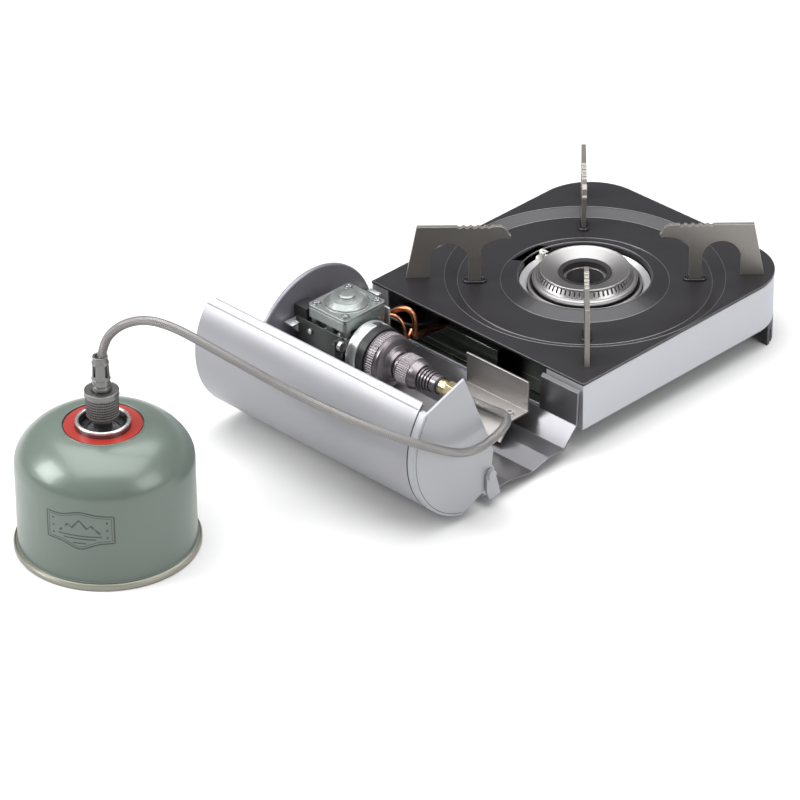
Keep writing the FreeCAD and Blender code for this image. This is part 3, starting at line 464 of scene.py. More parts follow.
FINISHES: dict[str, Finish | BraidFinish] = {
    "plate_charcoal": Finish(
        (0.026, 0.0245, 0.027), roughness=0.3, metallic=0.35, scale=3500, depth=8, shift=0.1, coat=0.1,
        edge=0.6, rounding=0.9,
    ),
    "body_silver": Finish(
        (0.46, 0.47, 0.5), roughness=0.42, metallic=0.3, scale=2500, depth=4, shift=0.03, edge=0.2,
        rounding=0.6,
    ),
    "pan_steel": Finish(
        (0.1, 0.105, 0.1), roughness=0.35, metallic=1.0, grain=Grain.BRUSHED, scale=1800, depth=30,
        shift=0.2, edge=0.15,
    ),
    "foot_plastic": Finish(
        (0.028, 0.027, 0.032), roughness=0.5, grain=Grain.MOULDED, scale=2500, depth=60, shift=0.15,
        edge=0.3,
    ),
    "support_steel": Finish(
        (0.25, 0.235, 0.218), roughness=0.4, metallic=0.7, grain=Grain.BRUSHED, shift=0.14, edge=0.7,
        rounding=0.6, turn=45,
    ),
    "burner_steel": Finish(
        (0.36, 0.35, 0.35), roughness=0.34, metallic=0.95, grain=Grain.TURNED, scale=1800, depth=30,
        shift=0.12, edge=0.4, centre="burner_cap",
    ),
    "reflector_steel": Finish(
        (0.8, 0.8, 0.81), roughness=0.3, metallic=0.7, grain=Grain.TURNED, scale=900, depth=10, shift=0.05,
        centre="burner_cap",
    ),
    "tube_steel": Finish((0.42, 0.42, 0.43), roughness=0.3, metallic=1.0, grain=Grain.BRUSHED, shift=0.1),
    "ceramic": Finish(
        (0.78, 0.76, 0.7), roughness=0.22, grain=Grain.POLISHED, scale=900, depth=10, shift=0.04, coat=0.6,
    ),
    "electrode_wire": Finish(
        (0.4, 0.39, 0.38), roughness=0.35, metallic=1.0, grain=Grain.BRUSHED, scale=2500, shift=0.15,
    ),
    "black_lead": Finish(
        (0.012, 0.012, 0.014), roughness=0.45, grain=Grain.MOULDED, scale=3000, depth=40, shift=0.2,
        edge=0.15,
    ),
    "tray_grey": Finish(
        (0.15, 0.148, 0.158), roughness=0.3, metallic=0.8, scale=2600, depth=8, edge=0.8, rounding=0.7,
    ),
    "heat_panel_steel": Finish(
        (0.34, 0.325, 0.315), roughness=0.34, metallic=0.85, grain=Grain.BRUSHED, shift=0.12, edge=0.6,
        rounding=0.6, turn=90,
    ),
    "panel_grey": Finish(
        (0.24, 0.235, 0.265), roughness=0.36, metallic=0.45, scale=3000, depth=8, shift=0.06, edge=0.35,
        rounding=0.8,
    ),
    # darker than body_silver, the same silver paint: painted shade, so that the open lid's lower side comes
    # out dark
    "lid_silver": Finish(
        (0.29, 0.29, 0.31), roughness=0.32, metallic=0.25, scale=2500, depth=4, shift=0.03, edge=0.4,
        rounding=0.6,
    ),
    "knob_plastic": Finish(
        (0.022, 0.022, 0.025), roughness=0.42, grain=Grain.MOULDED, scale=2600, depth=50, shift=0.12,
    ),
    "slide_steel": Finish(
        (0.06, 0.066, 0.062), roughness=0.4, metallic=0.8, grain=Grain.BRUSHED, scale=1800, depth=30,
        shift=0.2,
    ),
    "cast_zinc": Finish(
        (0.25, 0.27, 0.262), roughness=0.34, metallic=0.75, grain=Grain.CAST, scale=420, depth=300,
        shift=0.3, edge=0.6, rounding=0.8,
    ),
    "coupling_zinc": Finish(
        (0.5, 0.52, 0.51), roughness=0.36, metallic=0.75, grain=Grain.CAST, scale=600, depth=200,
        shift=0.2,
    ),
    "copper": Finish(
        (0.62, 0.25, 0.13), roughness=0.3, metallic=1.0, grain=Grain.POLISHED, scale=400, depth=30,
        shift=0.3, edge=0.2,
    ),
    "brass": Finish(
        (0.78, 0.66, 0.38), roughness=0.26, metallic=1.0, grain=Grain.TURNED, scale=2000, shift=0.12,
        flat=False, centre="hose_fitting",
    ),
    "adapter_metal": Finish(
        (0.21, 0.19, 0.203), roughness=0.32, metallic=0.85, grain=Grain.TURNED, scale=1600, shift=0.12,
        edge=0.7, rounding=0.3, flat=False, centre="adapter_disc",
    ),
    "hose_braid": BraidFinish(),
    "connector_metal": Finish(
        (0.19, 0.188, 0.186), roughness=0.32, metallic=0.85, grain=Grain.TURNED, scale=1600, shift=0.12,
        edge=0.7, rounding=0.3, centre="valve_collar",
    ),
    "canister_green": Finish(
        (0.125, 0.158, 0.135), roughness=0.32, metallic=0.2, scale=160, depth=12, shift=0.03, coat=0.15,
        edge=0.0, rounding=0,
    ),
    "canister_rim": Finish(
        (0.3, 0.295, 0.25), roughness=0.34, metallic=0.75, grain=Grain.POLISHED, scale=900, depth=5,
        shift=0.1,
    ),
    "canister_red": Finish(
        (0.3, 0.018, 0.011), roughness=0.38, scale=300, depth=5, shift=0.05, coat=0.2, edge=0.0,
        rounding=0,
    ),
    "cup_steel": Finish(
        (0.2, 0.2, 0.2), roughness=0.28, metallic=0.9, grain=Grain.TURNED, scale=1200, depth=10, shift=0.1,
        centre="valve_cup",
    ),
    # finishes that only the added pieces and OTHER_FINISH use
    # black for real gaps and the regulator's gasket, and for painted shade in hollows, grooves and recesses
    "dark_gap_and_shade": Finish(
        (0.006, 0.006, 0.007), roughness=0.7, grain=Grain.MOULDED, scale=2000, depth=30, shift=0.2,
        edge=0.0,
    ),
    "green_shield": Finish(
        (0.15, 0.175, 0.15), roughness=0.16, metallic=0.9, grain=Grain.BRUSHED, scale=500, shift=0.12,
    ),
    # a lighter copy of lid_silver: painted light on the lid's end cap and hinge
    "lit_lid_silver": Finish(
        (0.36, 0.365, 0.385), roughness=0.42, metallic=0.25, scale=2500, depth=4, shift=0.03, edge=0.4,
        rounding=0.6,
    ),
    # lighter charcoal: painted highlights on the plate's rolled edge and pressed rings
    "highlight_charcoal": Finish(
        (0.14, 0.137, 0.142), roughness=0.28, metallic=0.7, scale=3000, depth=10, shift=0.2, edge=0.0,
        rounding=0,
    ),
    "cup_roll": Finish(
        (0.62, 0.61, 0.6), roughness=0.28, metallic=0.9, grain=Grain.POLISHED, scale=1200, depth=10,
        shift=0.05,
    ),
    "mark_white": Finish(
        (0.75, 0.75, 0.75), roughness=0.5, grain=Grain.MOULDED, scale=3000, depth=10, shift=0.03, edge=0.0,
    ),
    "ink": Finish(
        (0.03, 0.035, 0.032), roughness=0.4, grain=Grain.MOULDED, scale=3000, depth=10, shift=0.1,
        coat=0.3, edge=0.0,
    ),
}

# CAD nodes that don't take the finish named like their slot; the end cap and hinge take a lighter copy of the
# lid's silver, painted light
OTHER_FINISH = {
    "lid_end_cap": "lit_lid_silver",
    "hinge_ear": "lit_lid_silver",
    "hinge_pins": "lit_lid_silver",
    "knob_shaft": "tube_steel",
}


class Palette:
    """Makes each material once."""

    def __init__(self) -> None:
        self.made: dict[str, bpy.types.Material] = {}

    def get(self, name: str) -> bpy.types.Material:
        """Material of a finish.

        Args:
            name: Key in FINISHES.

        Returns:
            The material.
        """
        if name not in self.made:
            self.made[name] = FINISHES[name].build(name)
        return self.made[name]

    def dress(self) -> int:
        """Give every CAD node the material of its slot.

        Returns:
            How many nodes were dressed.
        """
        for part in frame["record"]["subparts"]:
            node = frame["nodes"][part["node"]]
            for holder in node.material_slots:
                holder.material = self.get(OTHER_FINISH.get(part["node"], part["material_slot"]))
        return len(frame["record"]["subparts"])


PALETTE = Palette()


# ---- mesh tools ---------------------------------------------------------------------------------
class Axis(Enum):
    """Direction that a ring goes round."""

    Y = (0.0, 1.0, 0.0)
    Z = (0.0, 0.0, 1.0)


class Mesher:
    """Collects shapes in stove millimetres and turns them into one named piece."""

    def __init__(self) -> None:
        self.mesh = bmesh.new()

    def box(self, low: Point, high: Point, bevel: float = 0.0) -> None:
        """Add a block.

        Args:
            low: Lowest corner.
            high: Highest corner.
            bevel: Width of its softened edges.
        """
        a, b = Vector(low), Vector(high)
        matrix = Matrix.Translation((a + b) / 2) @ Matrix.Diagonal((*(b - a), 1.0))
        made = bmesh.ops.create_cube(self.mesh, size=1.0, matrix=matrix)
        self.soften(made["verts"], bevel)

    def boxes(self, blocks: Iterable[Block]) -> None:
        """Add several blocks.

        Args:
            blocks: The blocks.
        """
        for low, high, bevel in blocks:
            self.box(low, high, bevel)

    def row(self, block: Block, count: int, step: Point) -> None:
        """Add a row of equal blocks.

        Args:
            block: The first.
            count: How many.
            step: From one to the next.
        """
        low, high, bevel = block
        for i in range(count):
            shift = Vector(step) * i
            self.box(Vector(low) + shift, Vector(high) + shift, bevel)

    def soften(self, verts: Iterable[bmesh.types.BMVert], width: float) -> None:
        """Bevel the sharp edges of new geometry.

        Args:
            verts: Its vertices.
            width: Bevel width, or 0 for none.
        """
        if width <= 0:
            return
        self.mesh.normal_update()
        limit = math.radians(SHARP_EDGE)
        edges = {e for v in verts for e in v.link_edges}
        sharp = [e for e in edges if len(e.link_faces) == 2 and e.calc_face_angle(0.0) > limit]
        bmesh.ops.bevel(
            self.mesh, geom=sharp, offset=width, segments=2, profile=0.5, affect="EDGES", clamp_overlap=True,
            material=-1,
        )

    def rod(self, start: Point, end: Point, radius: float, sides: int, bevel: float = 0.0) -> None:
        """Add a cylinder.

        Args:
            start: Middle of its first end.
            end: Middle of its last end.
            radius: Its radius.
            sides: Sides.
            bevel: Width of its softened edges.
        """
        a, b = Vector(start), Vector(end)
        run = b - a
        matrix = Matrix.Translation((a + b) / 2) @ run.to_track_quat("Z", "Y").to_matrix().to_4x4()
        made = bmesh.ops.create_cone(
            self.mesh, cap_ends=True, cap_tris=False, segments=sides, radius1=radius, radius2=radius,
            depth=run.length, matrix=matrix,
        )
        self.soften(made["verts"], bevel)

    def lathe(self, profile: Sequence[Pair], origin: Point, steps: int) -> None:
        """Spin a closed profile round an upright axis.

        Args:
            profile: Pairs of radius and height.
            origin: Where the axis starts.
            steps: Steps round.
        """
        before = set(self.mesh.verts)
        verts = [self.mesh.verts.new((r, 0.0, h)) for r, h in profile]
        edges = [self.mesh.edges.new((a, b)) for a, b in zip(verts, verts[1:] + verts[:1])]
        bmesh.ops.spin(
            self.mesh, geom=verts + edges, cent=(0, 0, 0), axis=(0, 0, 1), angle=2 * math.pi, steps=steps,
            use_merge=True, use_duplicate=False,
        )
        fresh = [v for v in self.mesh.verts if v not in before]
        bmesh.ops.remove_doubles(self.mesh, verts=fresh, dist=WELD)
        fresh = [v for v in self.mesh.verts if v not in before]
        bmesh.ops.translate(self.mesh, vec=origin, verts=fresh)

    def washer(self, origin: Point, radii: Pair, heights: Pair, steps: int) -> None:
        """Add a flat ring.

        Args:
            origin: Where its axis starts.
            radii: Inner and outer radius.
            heights: Lower and upper face above the origin.
            steps: Steps round.
        """
        (inner, outer), (low, high) = radii, heights
        self.lathe([(inner, low), (outer, low), (outer, high), (inner, high)], origin, steps)

    def rings(
        self, origin: Point, rings: Iterable[Ring], steps: int, sides: int = 8, axis: Axis = Axis.Z
    ) -> None:
        """Add round beads on one axis.

        Args:
            origin: Where the axis starts.
            rings: The beads.
            steps: Points round each.
            sides: Sides of the section.
            axis: Direction of the axis.
        """
        for radius, place, thick in rings:
            centre = Vector(origin) + Vector(axis.value) * place
            self.sweep(circle(centre, radius, steps, axis), thick, sides, closed=True)

    def sweep(self, path: Sequence[Point], radius: float, sides: int, closed: bool = False) -> None:
        """Add a round tube along a path.

        Args:
            path: Points that it follows.
            radius: Radius of the tube.
            sides: Sides.
            closed: Whether the path is a loop.
        """
        frames = turning_frames([Vector(p) for p in path], closed)
        rings = [add_section(self.mesh, place, radius, sides) for place in frames]
        pairs = list(zip(rings, rings[1:])) + ([(rings[-1], rings[0])] if closed else [])
        for first, second in pairs:
            for i in range(sides):
                j = (i + 1) % sides
                self.mesh.faces.new((first[i], first[j], second[j], second[i]))
        if not closed:
            self.mesh.faces.new(rings[0])
            self.mesh.faces.new(rings[-1][::-1])

    def ribbon(self, inner: Sequence[Point], outer: Sequence[Point], closed: bool = False) -> None:
        """Add a strip of faces between two lines of points.

        Args:
            inner: One edge of the strip.
            outer: The other edge.
            closed: Whether the lines are loops.
        """
        first = [self.mesh.verts.new(p) for p in inner]
        second = [self.mesh.verts.new(p) for p in outer]
        count = len(first)
        for i in range(count if closed else count - 1):
            j = (i + 1) % count
            self.mesh.faces.new((first[i], first[j], second[j], second[i]))

    def piece(
        self, name: str, finish: str, body: str, crease: float = 38.0, replaces: Sequence[str] = ()
    ) -> bpy.types.Object:
        """Finish the mesh as a piece of the stove.

        Args:
            name: Name of the piece.
            finish: Key of its finish.
            body: CAD body that it rides on.
            crease: Edges bent more than this many degrees stay sharp.
            replaces: CAD nodes that it stands for.

        Returns:
            The new object.
        """
        bmesh.ops.recalc_face_normals(self.mesh, faces=self.mesh.faces[:])
        bmesh.ops.transform(self.mesh, matrix=PLACING, verts=self.mesh.verts[:])
        data = bpy.data.meshes.new(name)
        self.mesh.to_mesh(data)
        self.mesh.free()
        data.shade_smooth()
        data.set_sharp_from_angle(angle=math.radians(crease))
        data.materials.append(PALETTE.get(finish))
        made = bpy.data.objects.new(name, data)
        bpy.context.scene.collection.objects.link(made)
        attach(made, body)
        if replaces:
            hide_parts(*replaces)
        return made


def add_section(mesh: bmesh.types.BMesh, place: Frame, radius: float, sides: int) -> list[bmesh.types.BMVert]:
    """Add one round section of a tube.

    Args:
        mesh: Mesh to add it to.
        place: Where it stands.
        radius: Radius of the tube.
        sides: Sides.

    Returns:
        Its vertices, in order.
    """
    centre, across, up = place
    ring = []
    for i in range(sides):
        a = 2 * math.pi * i / sides
        ring.append(mesh.verts.new(centre + (across * math.cos(a) + up * math.sin(a)) * radius))
    return ring


def turning_frames(path: list[Vector], closed: bool = False) -> list[Frame]:
    """Frames along a path that don't twist.

    Args:
        path: Points of the path.
        closed: Whether it is a loop.

    Returns:
        For each point: the point, and two directions across the path.
    """
    count = len(path)
    frames = []
    across = None
    for i, point in enumerate(path):
        before = path[i - 1] if i > 0 or closed else point
        after = path[(i + 1) % count] if i < count - 1 or closed else point
        along = (after - before).normalized()
        if across is None:
            side = Vector((0, 0, 1)) if abs(along.z) < UPRIGHT else Vector((1, 0, 0))
            across = along.cross(side).normalized()
        across = (across - along * across.dot(along)).normalized()
        frames.append((point, across, along.cross(across)))
    return frames


def smooth_line(route: Sequence[Point], steps: int) -> list[Vector]:
    """Read the smooth line from a NURBS spline with the given control points.

    Args:
        route: Control points, in stove millimetres.
        steps: Points read for each control point.

    Returns:
        Points along the line.
    """
    data = bpy.data.curves.new("line", "CURVE")
    data.dimensions = "3D"
    data.resolution_u = steps
    spline = data.splines.new("NURBS")
    spline.points.add(len(route) - 1)
    for point, place in zip(spline.points, route):
        point.co = (*place, 1.0)
    spline.order_u = 3
    spline.use_endpoint_u = True
    holder = bpy.data.objects.new("line", data)
    bpy.context.scene.collection.objects.link(holder)
    mesh = bpy.data.meshes.new_from_object(holder)
    points = [v.co.copy() for v in mesh.vertices]
    bpy.data.objects.remove(holder)
    bpy.data.meshes.remove(mesh)
    return points


def circle(centre: Point, radius: float, count: int, axis: Axis) -> list[Vector]:
    """Points round a level or upright circle.

    Args:
        centre: Its middle.
        radius: Its radius.
        count: How many points.
        axis: The axis it goes round.

    Returns:
        The points.
    """
    points = []
    for i in range(count):
        a = 2 * math.pi * i / count
        c, s = math.cos(a), math.sin(a)
        points.append(Vector(centre) + Vector((c, s, 0.0) if axis is Axis.Z else (c, 0.0, s)) * radius)
    return points


# ---- studio -------------------------------------------------------------------------------------
@dataclass(frozen=True)
class SoftBox:
    """A square lamp.

    Attributes:
        name: Name of the lamp.
        place: Where it is, in metres.
        target: What it faces, in metres.
        size: Length of its sides, in metres.
        watts: Its power.
    """

    name: str
    place: Point
    target: Point
    size: float
    watts: float

    def hang(self) -> None:
        """Add the lamp to the scene."""
        data = bpy.data.lights.new(self.name, "AREA")
        data.shape = "RECTANGLE"
        data.size = data.size_y = self.size
        data.energy = self.watts
        lamp = bpy.data.objects.new(self.name, data)
        lamp.location = self.place
        lamp.rotation_euler = (Vector(self.target) - Vector(self.place)).to_track_quat("-Z", "Y").to_euler()
        bpy.context.scene.collection.objects.link(lamp)


@dataclass
class Studio:
    """Camera, floor, sky and lights.

    Attributes:
        azimuth: Direction of the camera round the stove, in degrees.
        elevation: Its height above the horizon, in degrees.
        distance: Its distance from the aim point, in metres.
        lens: Focal length, in millimetres.
        sensor: Width of the sensor, in millimetres.
        clip: Nearest and farthest distance that it sees, in metres.
        aim: Where it looks before the framing is set, in stove millimetres.
        framing: How far the aim point lies right of and below the middle, in widths of the picture.
        floor_half: Half the length of the floor's sides, in metres.
        floor_shades: Darkest and lightest grey of the floor.
        sky_stops: Height and grey of the sky's horizon, of the band above it, and overhead.
        sky_strength: Brightness of the sky.
        lamps: The soft boxes.
    """

    azimuth: float = 133.92
    elevation: float = 31.05
    distance: float = 3.11208
    lens: float = 225.0
    sensor: float = 36.0
    clip: Pair = (0.1, 50.0)
    aim: tuple[float, float, float] = (0.0, 90.0, 20.0)
    framing: Pair = (0.0931, -0.0379)
    floor_half: float = 4.0
    floor_shades: Pair = (0.66, 0.69)
    sky_stops: tuple[tuple[float, Colour], ...] = (
        (0.46, (0.55, 0.55, 0.56)), (0.62, (0.5, 0.5, 0.52)), (0.95, (1.0, 1.0, 1.0)),
    )
    sky_strength: float = 0.42
    lamps: tuple[SoftBox, ...] = (
        SoftBox("overhead", (-0.1, -0.1, 2.0), (0.0, 0.0, 0.0), 2.6, 80.0),
        SoftBox("left_box", (1.3, -1.0, 1.05), (0.1, 0.0, 0.05), 0.9, 28.0),
        SoftBox("right_box", (-0.3, 1.5, 0.9), (0.0, 0.0, 0.05), 0.9, 10.0),
    )

    def camera(self) -> None:
        """Set the camera up."""
        a, e = math.radians(self.azimuth), math.radians(self.elevation)
        back = Vector((math.sin(a) * math.cos(e), -math.cos(a) * math.cos(e), math.sin(e)))
        right = Vector((math.cos(a), math.sin(a), 0.0))
        up = back.cross(right)
        data = bpy.data.cameras.new("camera")
        data.lens = self.lens
        data.sensor_width = self.sensor
        data.clip_start, data.clip_end = self.clip
        reach = self.lens / self.sensor
        look = (back * reach + right * self.framing[0] - up * self.framing[1]).normalized()
        level = (right - look * right.dot(look)).normalized()
        camera = bpy.data.objects.new("camera", data)
        turn = Matrix((level, look.cross(level), look)).transposed().to_4x4()
        camera.matrix_world = Matrix.Translation(at(*self.aim) + back * self.distance) @ turn
        bpy.context.scene.collection.objects.link(camera)
        bpy.context.scene.camera = camera

    def floor(self) -> None:
        """Lay a plain pale floor."""
        mesh = bmesh.new()
        bmesh.ops.create_grid(mesh, x_segments=8, y_segments=8, size=self.floor_half)
        data = bpy.data.meshes.new("floor")
        mesh.to_mesh(data)
        mesh.free()
        graph = Graph("floor_paper")
        dark, light = ((shade,) * 3 for shade in self.floor_shades)
        colour = graph.blend(graph.noise(graph.place, 2.0), dark, light)
        graph.link(colour, graph.shader.inputs["Base Color"])
        graph.shader.inputs["Roughness"].default_value = 0.9
        graph.shader.inputs["Specular IOR Level"].default_value = 0.0
        data.materials.append(graph.material)
        floor = bpy.data.objects.new("floor", data)
        bpy.context.scene.collection.objects.link(floor)

    def sky(self) -> None:
        """Surround the stove with a pale studio that is brighter overhead."""
        world = bpy.data.worlds.new("studio")
        world.use_nodes = True
        bpy.context.scene.world = world
        tree = world.node_tree
        background = next(n for n in tree.nodes if n.type == "BACKGROUND")
        coordinates = tree.nodes.new("ShaderNodeTexCoord")
        split = tree.nodes.new("ShaderNodeSeparateXYZ")
        tree.links.new(coordinates.outputs["Generated"], split.inputs[0])
        height = tree.nodes.new("ShaderNodeMath")
        height.operation = "MULTIPLY_ADD"
        tree.links.new(split.outputs["Z"], height.inputs[0])
        height.inputs[1].default_value = height.inputs[2].default_value = 0.5
        ramp = tree.nodes.new("ShaderNodeValToRGB")
        tree.links.new(height.outputs[0], ramp.inputs[0])
        (low, horizon), (middle, band), (high, overhead) = self.sky_stops
        stops = ramp.color_ramp.elements
        stops[0].position, stops[0].color = low, (*horizon, 1.0)
        stops[1].position, stops[1].color = high, (*overhead, 1.0)
        stops.new(middle).color = (*band, 1.0)
        tree.links.new(ramp.outputs[0], background.inputs["Color"])
        background.inputs["Strength"].default_value = self.sky_strength

    def build(self) -> None:
        """Make the whole studio."""
        self.camera()
        self.floor()
        self.sky()
        for lamp in self.lamps:
            lamp.hang()
        bpy.context.scene.view_settings.view_transform = "Standard"


# ---- hose ---------------------------------------------------------------------------------------
@dataclass
class Hose:
    """Braided hose from the adapter to the canister connector.

    Attributes:
        route: Its control points, in stove millimetres.
        diameter: Across the braid, in millimetres.
        length: Real length, in millimetres; not used.
        fineness: Points read for each control point.
        sides: Sides of the tube.
    """

    route: tuple[Point, ...] = (
        (53.0, 128.0, 41.0), (53.0, 149.0, 41.0), (64.0, 181.0, 53.5), (85.0, 194.5, 57.0),
        (111.0, 194.0, 52.5), (144.0, 195.5, 72.0), (171.0, 172.5, 87.5), (196.0, 136.0, 106.0),
        (228.0, 107.5, 136.6), (248.8, 76.7, 156.4), (261.3, 58.1, 152.6), (269.5, 46.0, 135.3),
        (269.5, 46.0, 112.5),
    )
    diameter: float = 5.5
    length: float = 389.1
    fineness: int = 20
    sides: int = 28

    def tube(self, points: list[Vector]) -> bpy.types.Mesh:
        """Make the tube, charted by turns round it and millimetres along it.

        Args:
            points: Its middle line.

        Returns:
            The mesh.
        """
        mesh = bmesh.new()
        chart = mesh.loops.layers.uv.new("UVMap")
        run = [0.0]
        for before, after in zip(points, points[1:]):
            run.append(run[-1] + (after - before).length)
        rings = [add_section(mesh, place, self.diameter / 2, self.sides) for place in turning_frames(points)]
        for i, (first, second) in enumerate(zip(rings, rings[1:])):
            for k in range(self.sides):
                j = (k + 1) % self.sides
                face = mesh.faces.new((first[k], first[j], second[j], second[k]))
                corners = ((k, run[i]), (k + 1, run[i]), (k + 1, run[i + 1]), (k, run[i + 1]))
                for loop, (around, along) in zip(face.loops, corners):
                    loop[chart].uv = (around / self.sides, along)
        mesh.faces.new(rings[0])
        mesh.faces.new(rings[-1][::-1])
        bmesh.ops.recalc_face_normals(mesh, faces=mesh.faces[:])
        bmesh.ops.transform(mesh, matrix=PLACING, verts=mesh.verts[:])
        data = bpy.data.meshes.new("braided_hose")
        mesh.to_mesh(data)
        mesh.free()
        return data

    def build(self) -> None:
        points = smooth_line(self.route, self.fineness)
        data = self.tube(points)
        data.shade_smooth()
        data.materials.append(PALETTE.get("hose_braid"))
        hose = bpy.data.objects.new("braided_hose", data)
        bpy.context.scene.collection.objects.link(hose)
        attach(hose, "stove")
        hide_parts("hose")


# ---- hob ----------------------------------------------------------------------------------------
@dataclass
class HobTrim:
    """Rolled edges and grommets of the hob, with painted highlights along the plate's edge and pressed rings.

    Attributes:
        width: Hob width, in millimetres.
        depth: Hob depth.
        corner: Radius of its two outer corners.
        inner_corner: Radius of the two corners beside the cartridge bay.
        top: Height of the plate.
        foot: Height of the wall's lower edge.
        burner: Middle of the burner.
        plate_edge: Inset, height over the plate and section radius of the plate's rolled edge, drawn lighter
            as a painted highlight.
        shadow: The same of the dark line under the plate.
        hem: Inset, height over the foot and section radius of the wall's hem.
        beads: Rings pressed in the plate, drawn lighter as painted highlights.
        angles: Directions of the four supports, in degrees.
        legs: Inner and outer distance of a support's leg from the burner.
        slot_height: Height of the ovals round the leg slots.
        slot_end: Radius of an oval's ends.
        slot_bead: Radius of an oval's section.
    """

    width: float = 200.5
    depth: float = 182.0
    corner: float = 37.0
    inner_corner: float = 1.2
    top: float = 47.8
    foot: float = 15.0
    burner: Pair = (-98.6, 91.8)
    plate_edge: Ring = (0.38, -0.34, 0.42)
    shadow: Ring = (0.75, -1.65, 0.3)
    hem: Ring = (0.9, 0.6, 0.6)
    beads: tuple[Ring, ...] = ((42.6, 47.45, 0.5), (88.8, 47.62, 0.35), (80.4, 44.2, 0.4), (53.4, 44.25, 0.4))
    angles: tuple[float, ...] = (-45.0, 43.5, 135.0, 223.5)
    legs: Pair = (65.5, 73.5)
    slot_height: float = 45.0
    slot_end: float = 2.9
    slot_bead: float = 0.75

    def outline(self, inset: float, z: float) -> list[Vector]:
        """Points round the hob.

        Args:
            inset: Distance inside its outer edge.
            z: Height.

        Returns:
            The points, as a loop.
        """
        near, far = self.inner_corner, self.corner
        bends = (
            (-near - inset, self.depth - near - inset, near, 0, 6),
            (-self.width + far, self.depth - far, far - inset, 90, 24),
            (-self.width + far, far, far - inset, 180, 24),
            (-near - inset, near + inset, near, 270, 6),
        )
        points = []
        for x, y, radius, start, steps in bends:
            for i in range(steps + 1):
                a = math.radians(start + 90 * i / steps)
                points.append(Vector((x + radius * math.cos(a), y + radius * math.sin(a), z)))
        return points

    def rim(self, name: str, finish: str, slot: str, line: Ring, level: float, sides: int) -> None:
        """Make one edge that runs round the hob.

        Args:
            name: Name of the piece.
            finish: Key of its finish.
            slot: Material slot of the record; not used.
            line: Inset, height over the level, and section radius.
            level: Height that the line is measured from.
            sides: Sides of the section.
        """
        inset, rise, thick = line
        tool = Mesher()
        tool.sweep(self.outline(inset, level + rise), thick, sides, closed=True)
        tool.piece(name, finish, "stove")

    def grommet(self, tool: Mesher, angle: float, steps: int = 40) -> None:
        """Add the raised oval round one leg slot.

        Args:
            tool: Mesh to add it to.
            angle: Direction of the support.
            steps: Points round the oval.
        """
        a = math.radians(angle)
        along, across = Vector((math.cos(a), math.sin(a), 0)), Vector((-math.sin(a), math.cos(a), 0))
        middle = Vector((*self.burner, self.slot_height)) + along * sum(self.legs) / 2
        half = (self.legs[1] - self.legs[0]) / 2
        loop = []
        for i in range(steps):
            t = 2 * math.pi * i / steps
            straight = math.copysign(half, math.cos(t)) if abs(math.cos(t)) > TINY else 0.0
            reach = straight + self.slot_end * math.cos(t)
            loop.append(middle + along * reach + across * self.slot_end * math.sin(t))
        tool.sweep(loop, self.slot_bead, sides=10, closed=True)

    def build(self) -> None:
        """Make the hob's trim."""
        # the rolled edge is drawn in lighter charcoal, a painted highlight
        self.rim("plate_rolled_edge", "highlight_charcoal", "plate_charcoal", self.plate_edge, self.top, 10)
        self.rim("wall_hem", "body_silver", "body_silver", self.hem, self.foot, 8)
        # dark line under the plate's edge: the joint, with painted shade under the overhang
        self.rim("plate_joint_shade", "dark_gap_and_shade", "plate_charcoal", self.shadow, self.top, 6)
        ovals = Mesher()
        for angle in self.angles:
            self.grommet(ovals, angle)
        ovals.piece("support_grommets", "plate_charcoal", "stove")
        # the pressed rings are drawn in lighter charcoal, painted highlights along the step edges
        beads = Mesher()
        beads.rings((*self.burner, 0.0), self.beads, 144)
        beads.piece("plate_beads", "highlight_charcoal", "stove")


@dataclass
class BurnerTrim:
    """Small parts of the burner, and painted shade in its well.

    Attributes:
        centre: Middle of the burner.
        rings: Beads on the cap's rim and on the bowl.
        lip: Profile of the reflector's lip.
        floor: Profile of the dark disc below the throat, painted shade in the burner's well.
        throat: Profile of the dark lining of the cap's hole, painted shade.
    """

    centre: Pair = (-98.6, 91.8)
    rings: tuple[Ring, ...] = ((28.3, 52.75, 0.45), (33.0, 46.5, 0.5))
    lip: tuple[Pair, ...] = ((36.8, 40.2), (41.4, 43.2), (41.7, 42.8), (37.0, 39.7))
    floor: tuple[Pair, ...] = ((11.6, 34.2), (11.6, 36.0), (1.0, 36.0), (1.0, 34.2))
    throat: tuple[Pair, ...] = (
        (14.0, 46.6), (14.4, 49.3), (16.9, 50.2), (16.9, 50.5), (14.1, 49.6), (13.7, 46.6),
    )

    def build(self) -> None:
        """Make the burner's trim."""
        base = (*self.centre, 0.0)
        beads = Mesher()
        beads.rings(base, self.rings, 120)
        beads.piece("burner_rings", "burner_steel", "stove")
        lining = Mesher()
        lining.lathe(self.lip, base, 96)
        lining.piece("reflector_lip", "reflector_steel", "stove")
        # dark floor and lining in the burner's hole: painted shade
        well = Mesher()
        well.lathe(self.floor, base, 48)
        well.lathe(self.throat, base, 72)
        well.piece("burner_throat_shade", "dark_gap_and_shade", "stove")


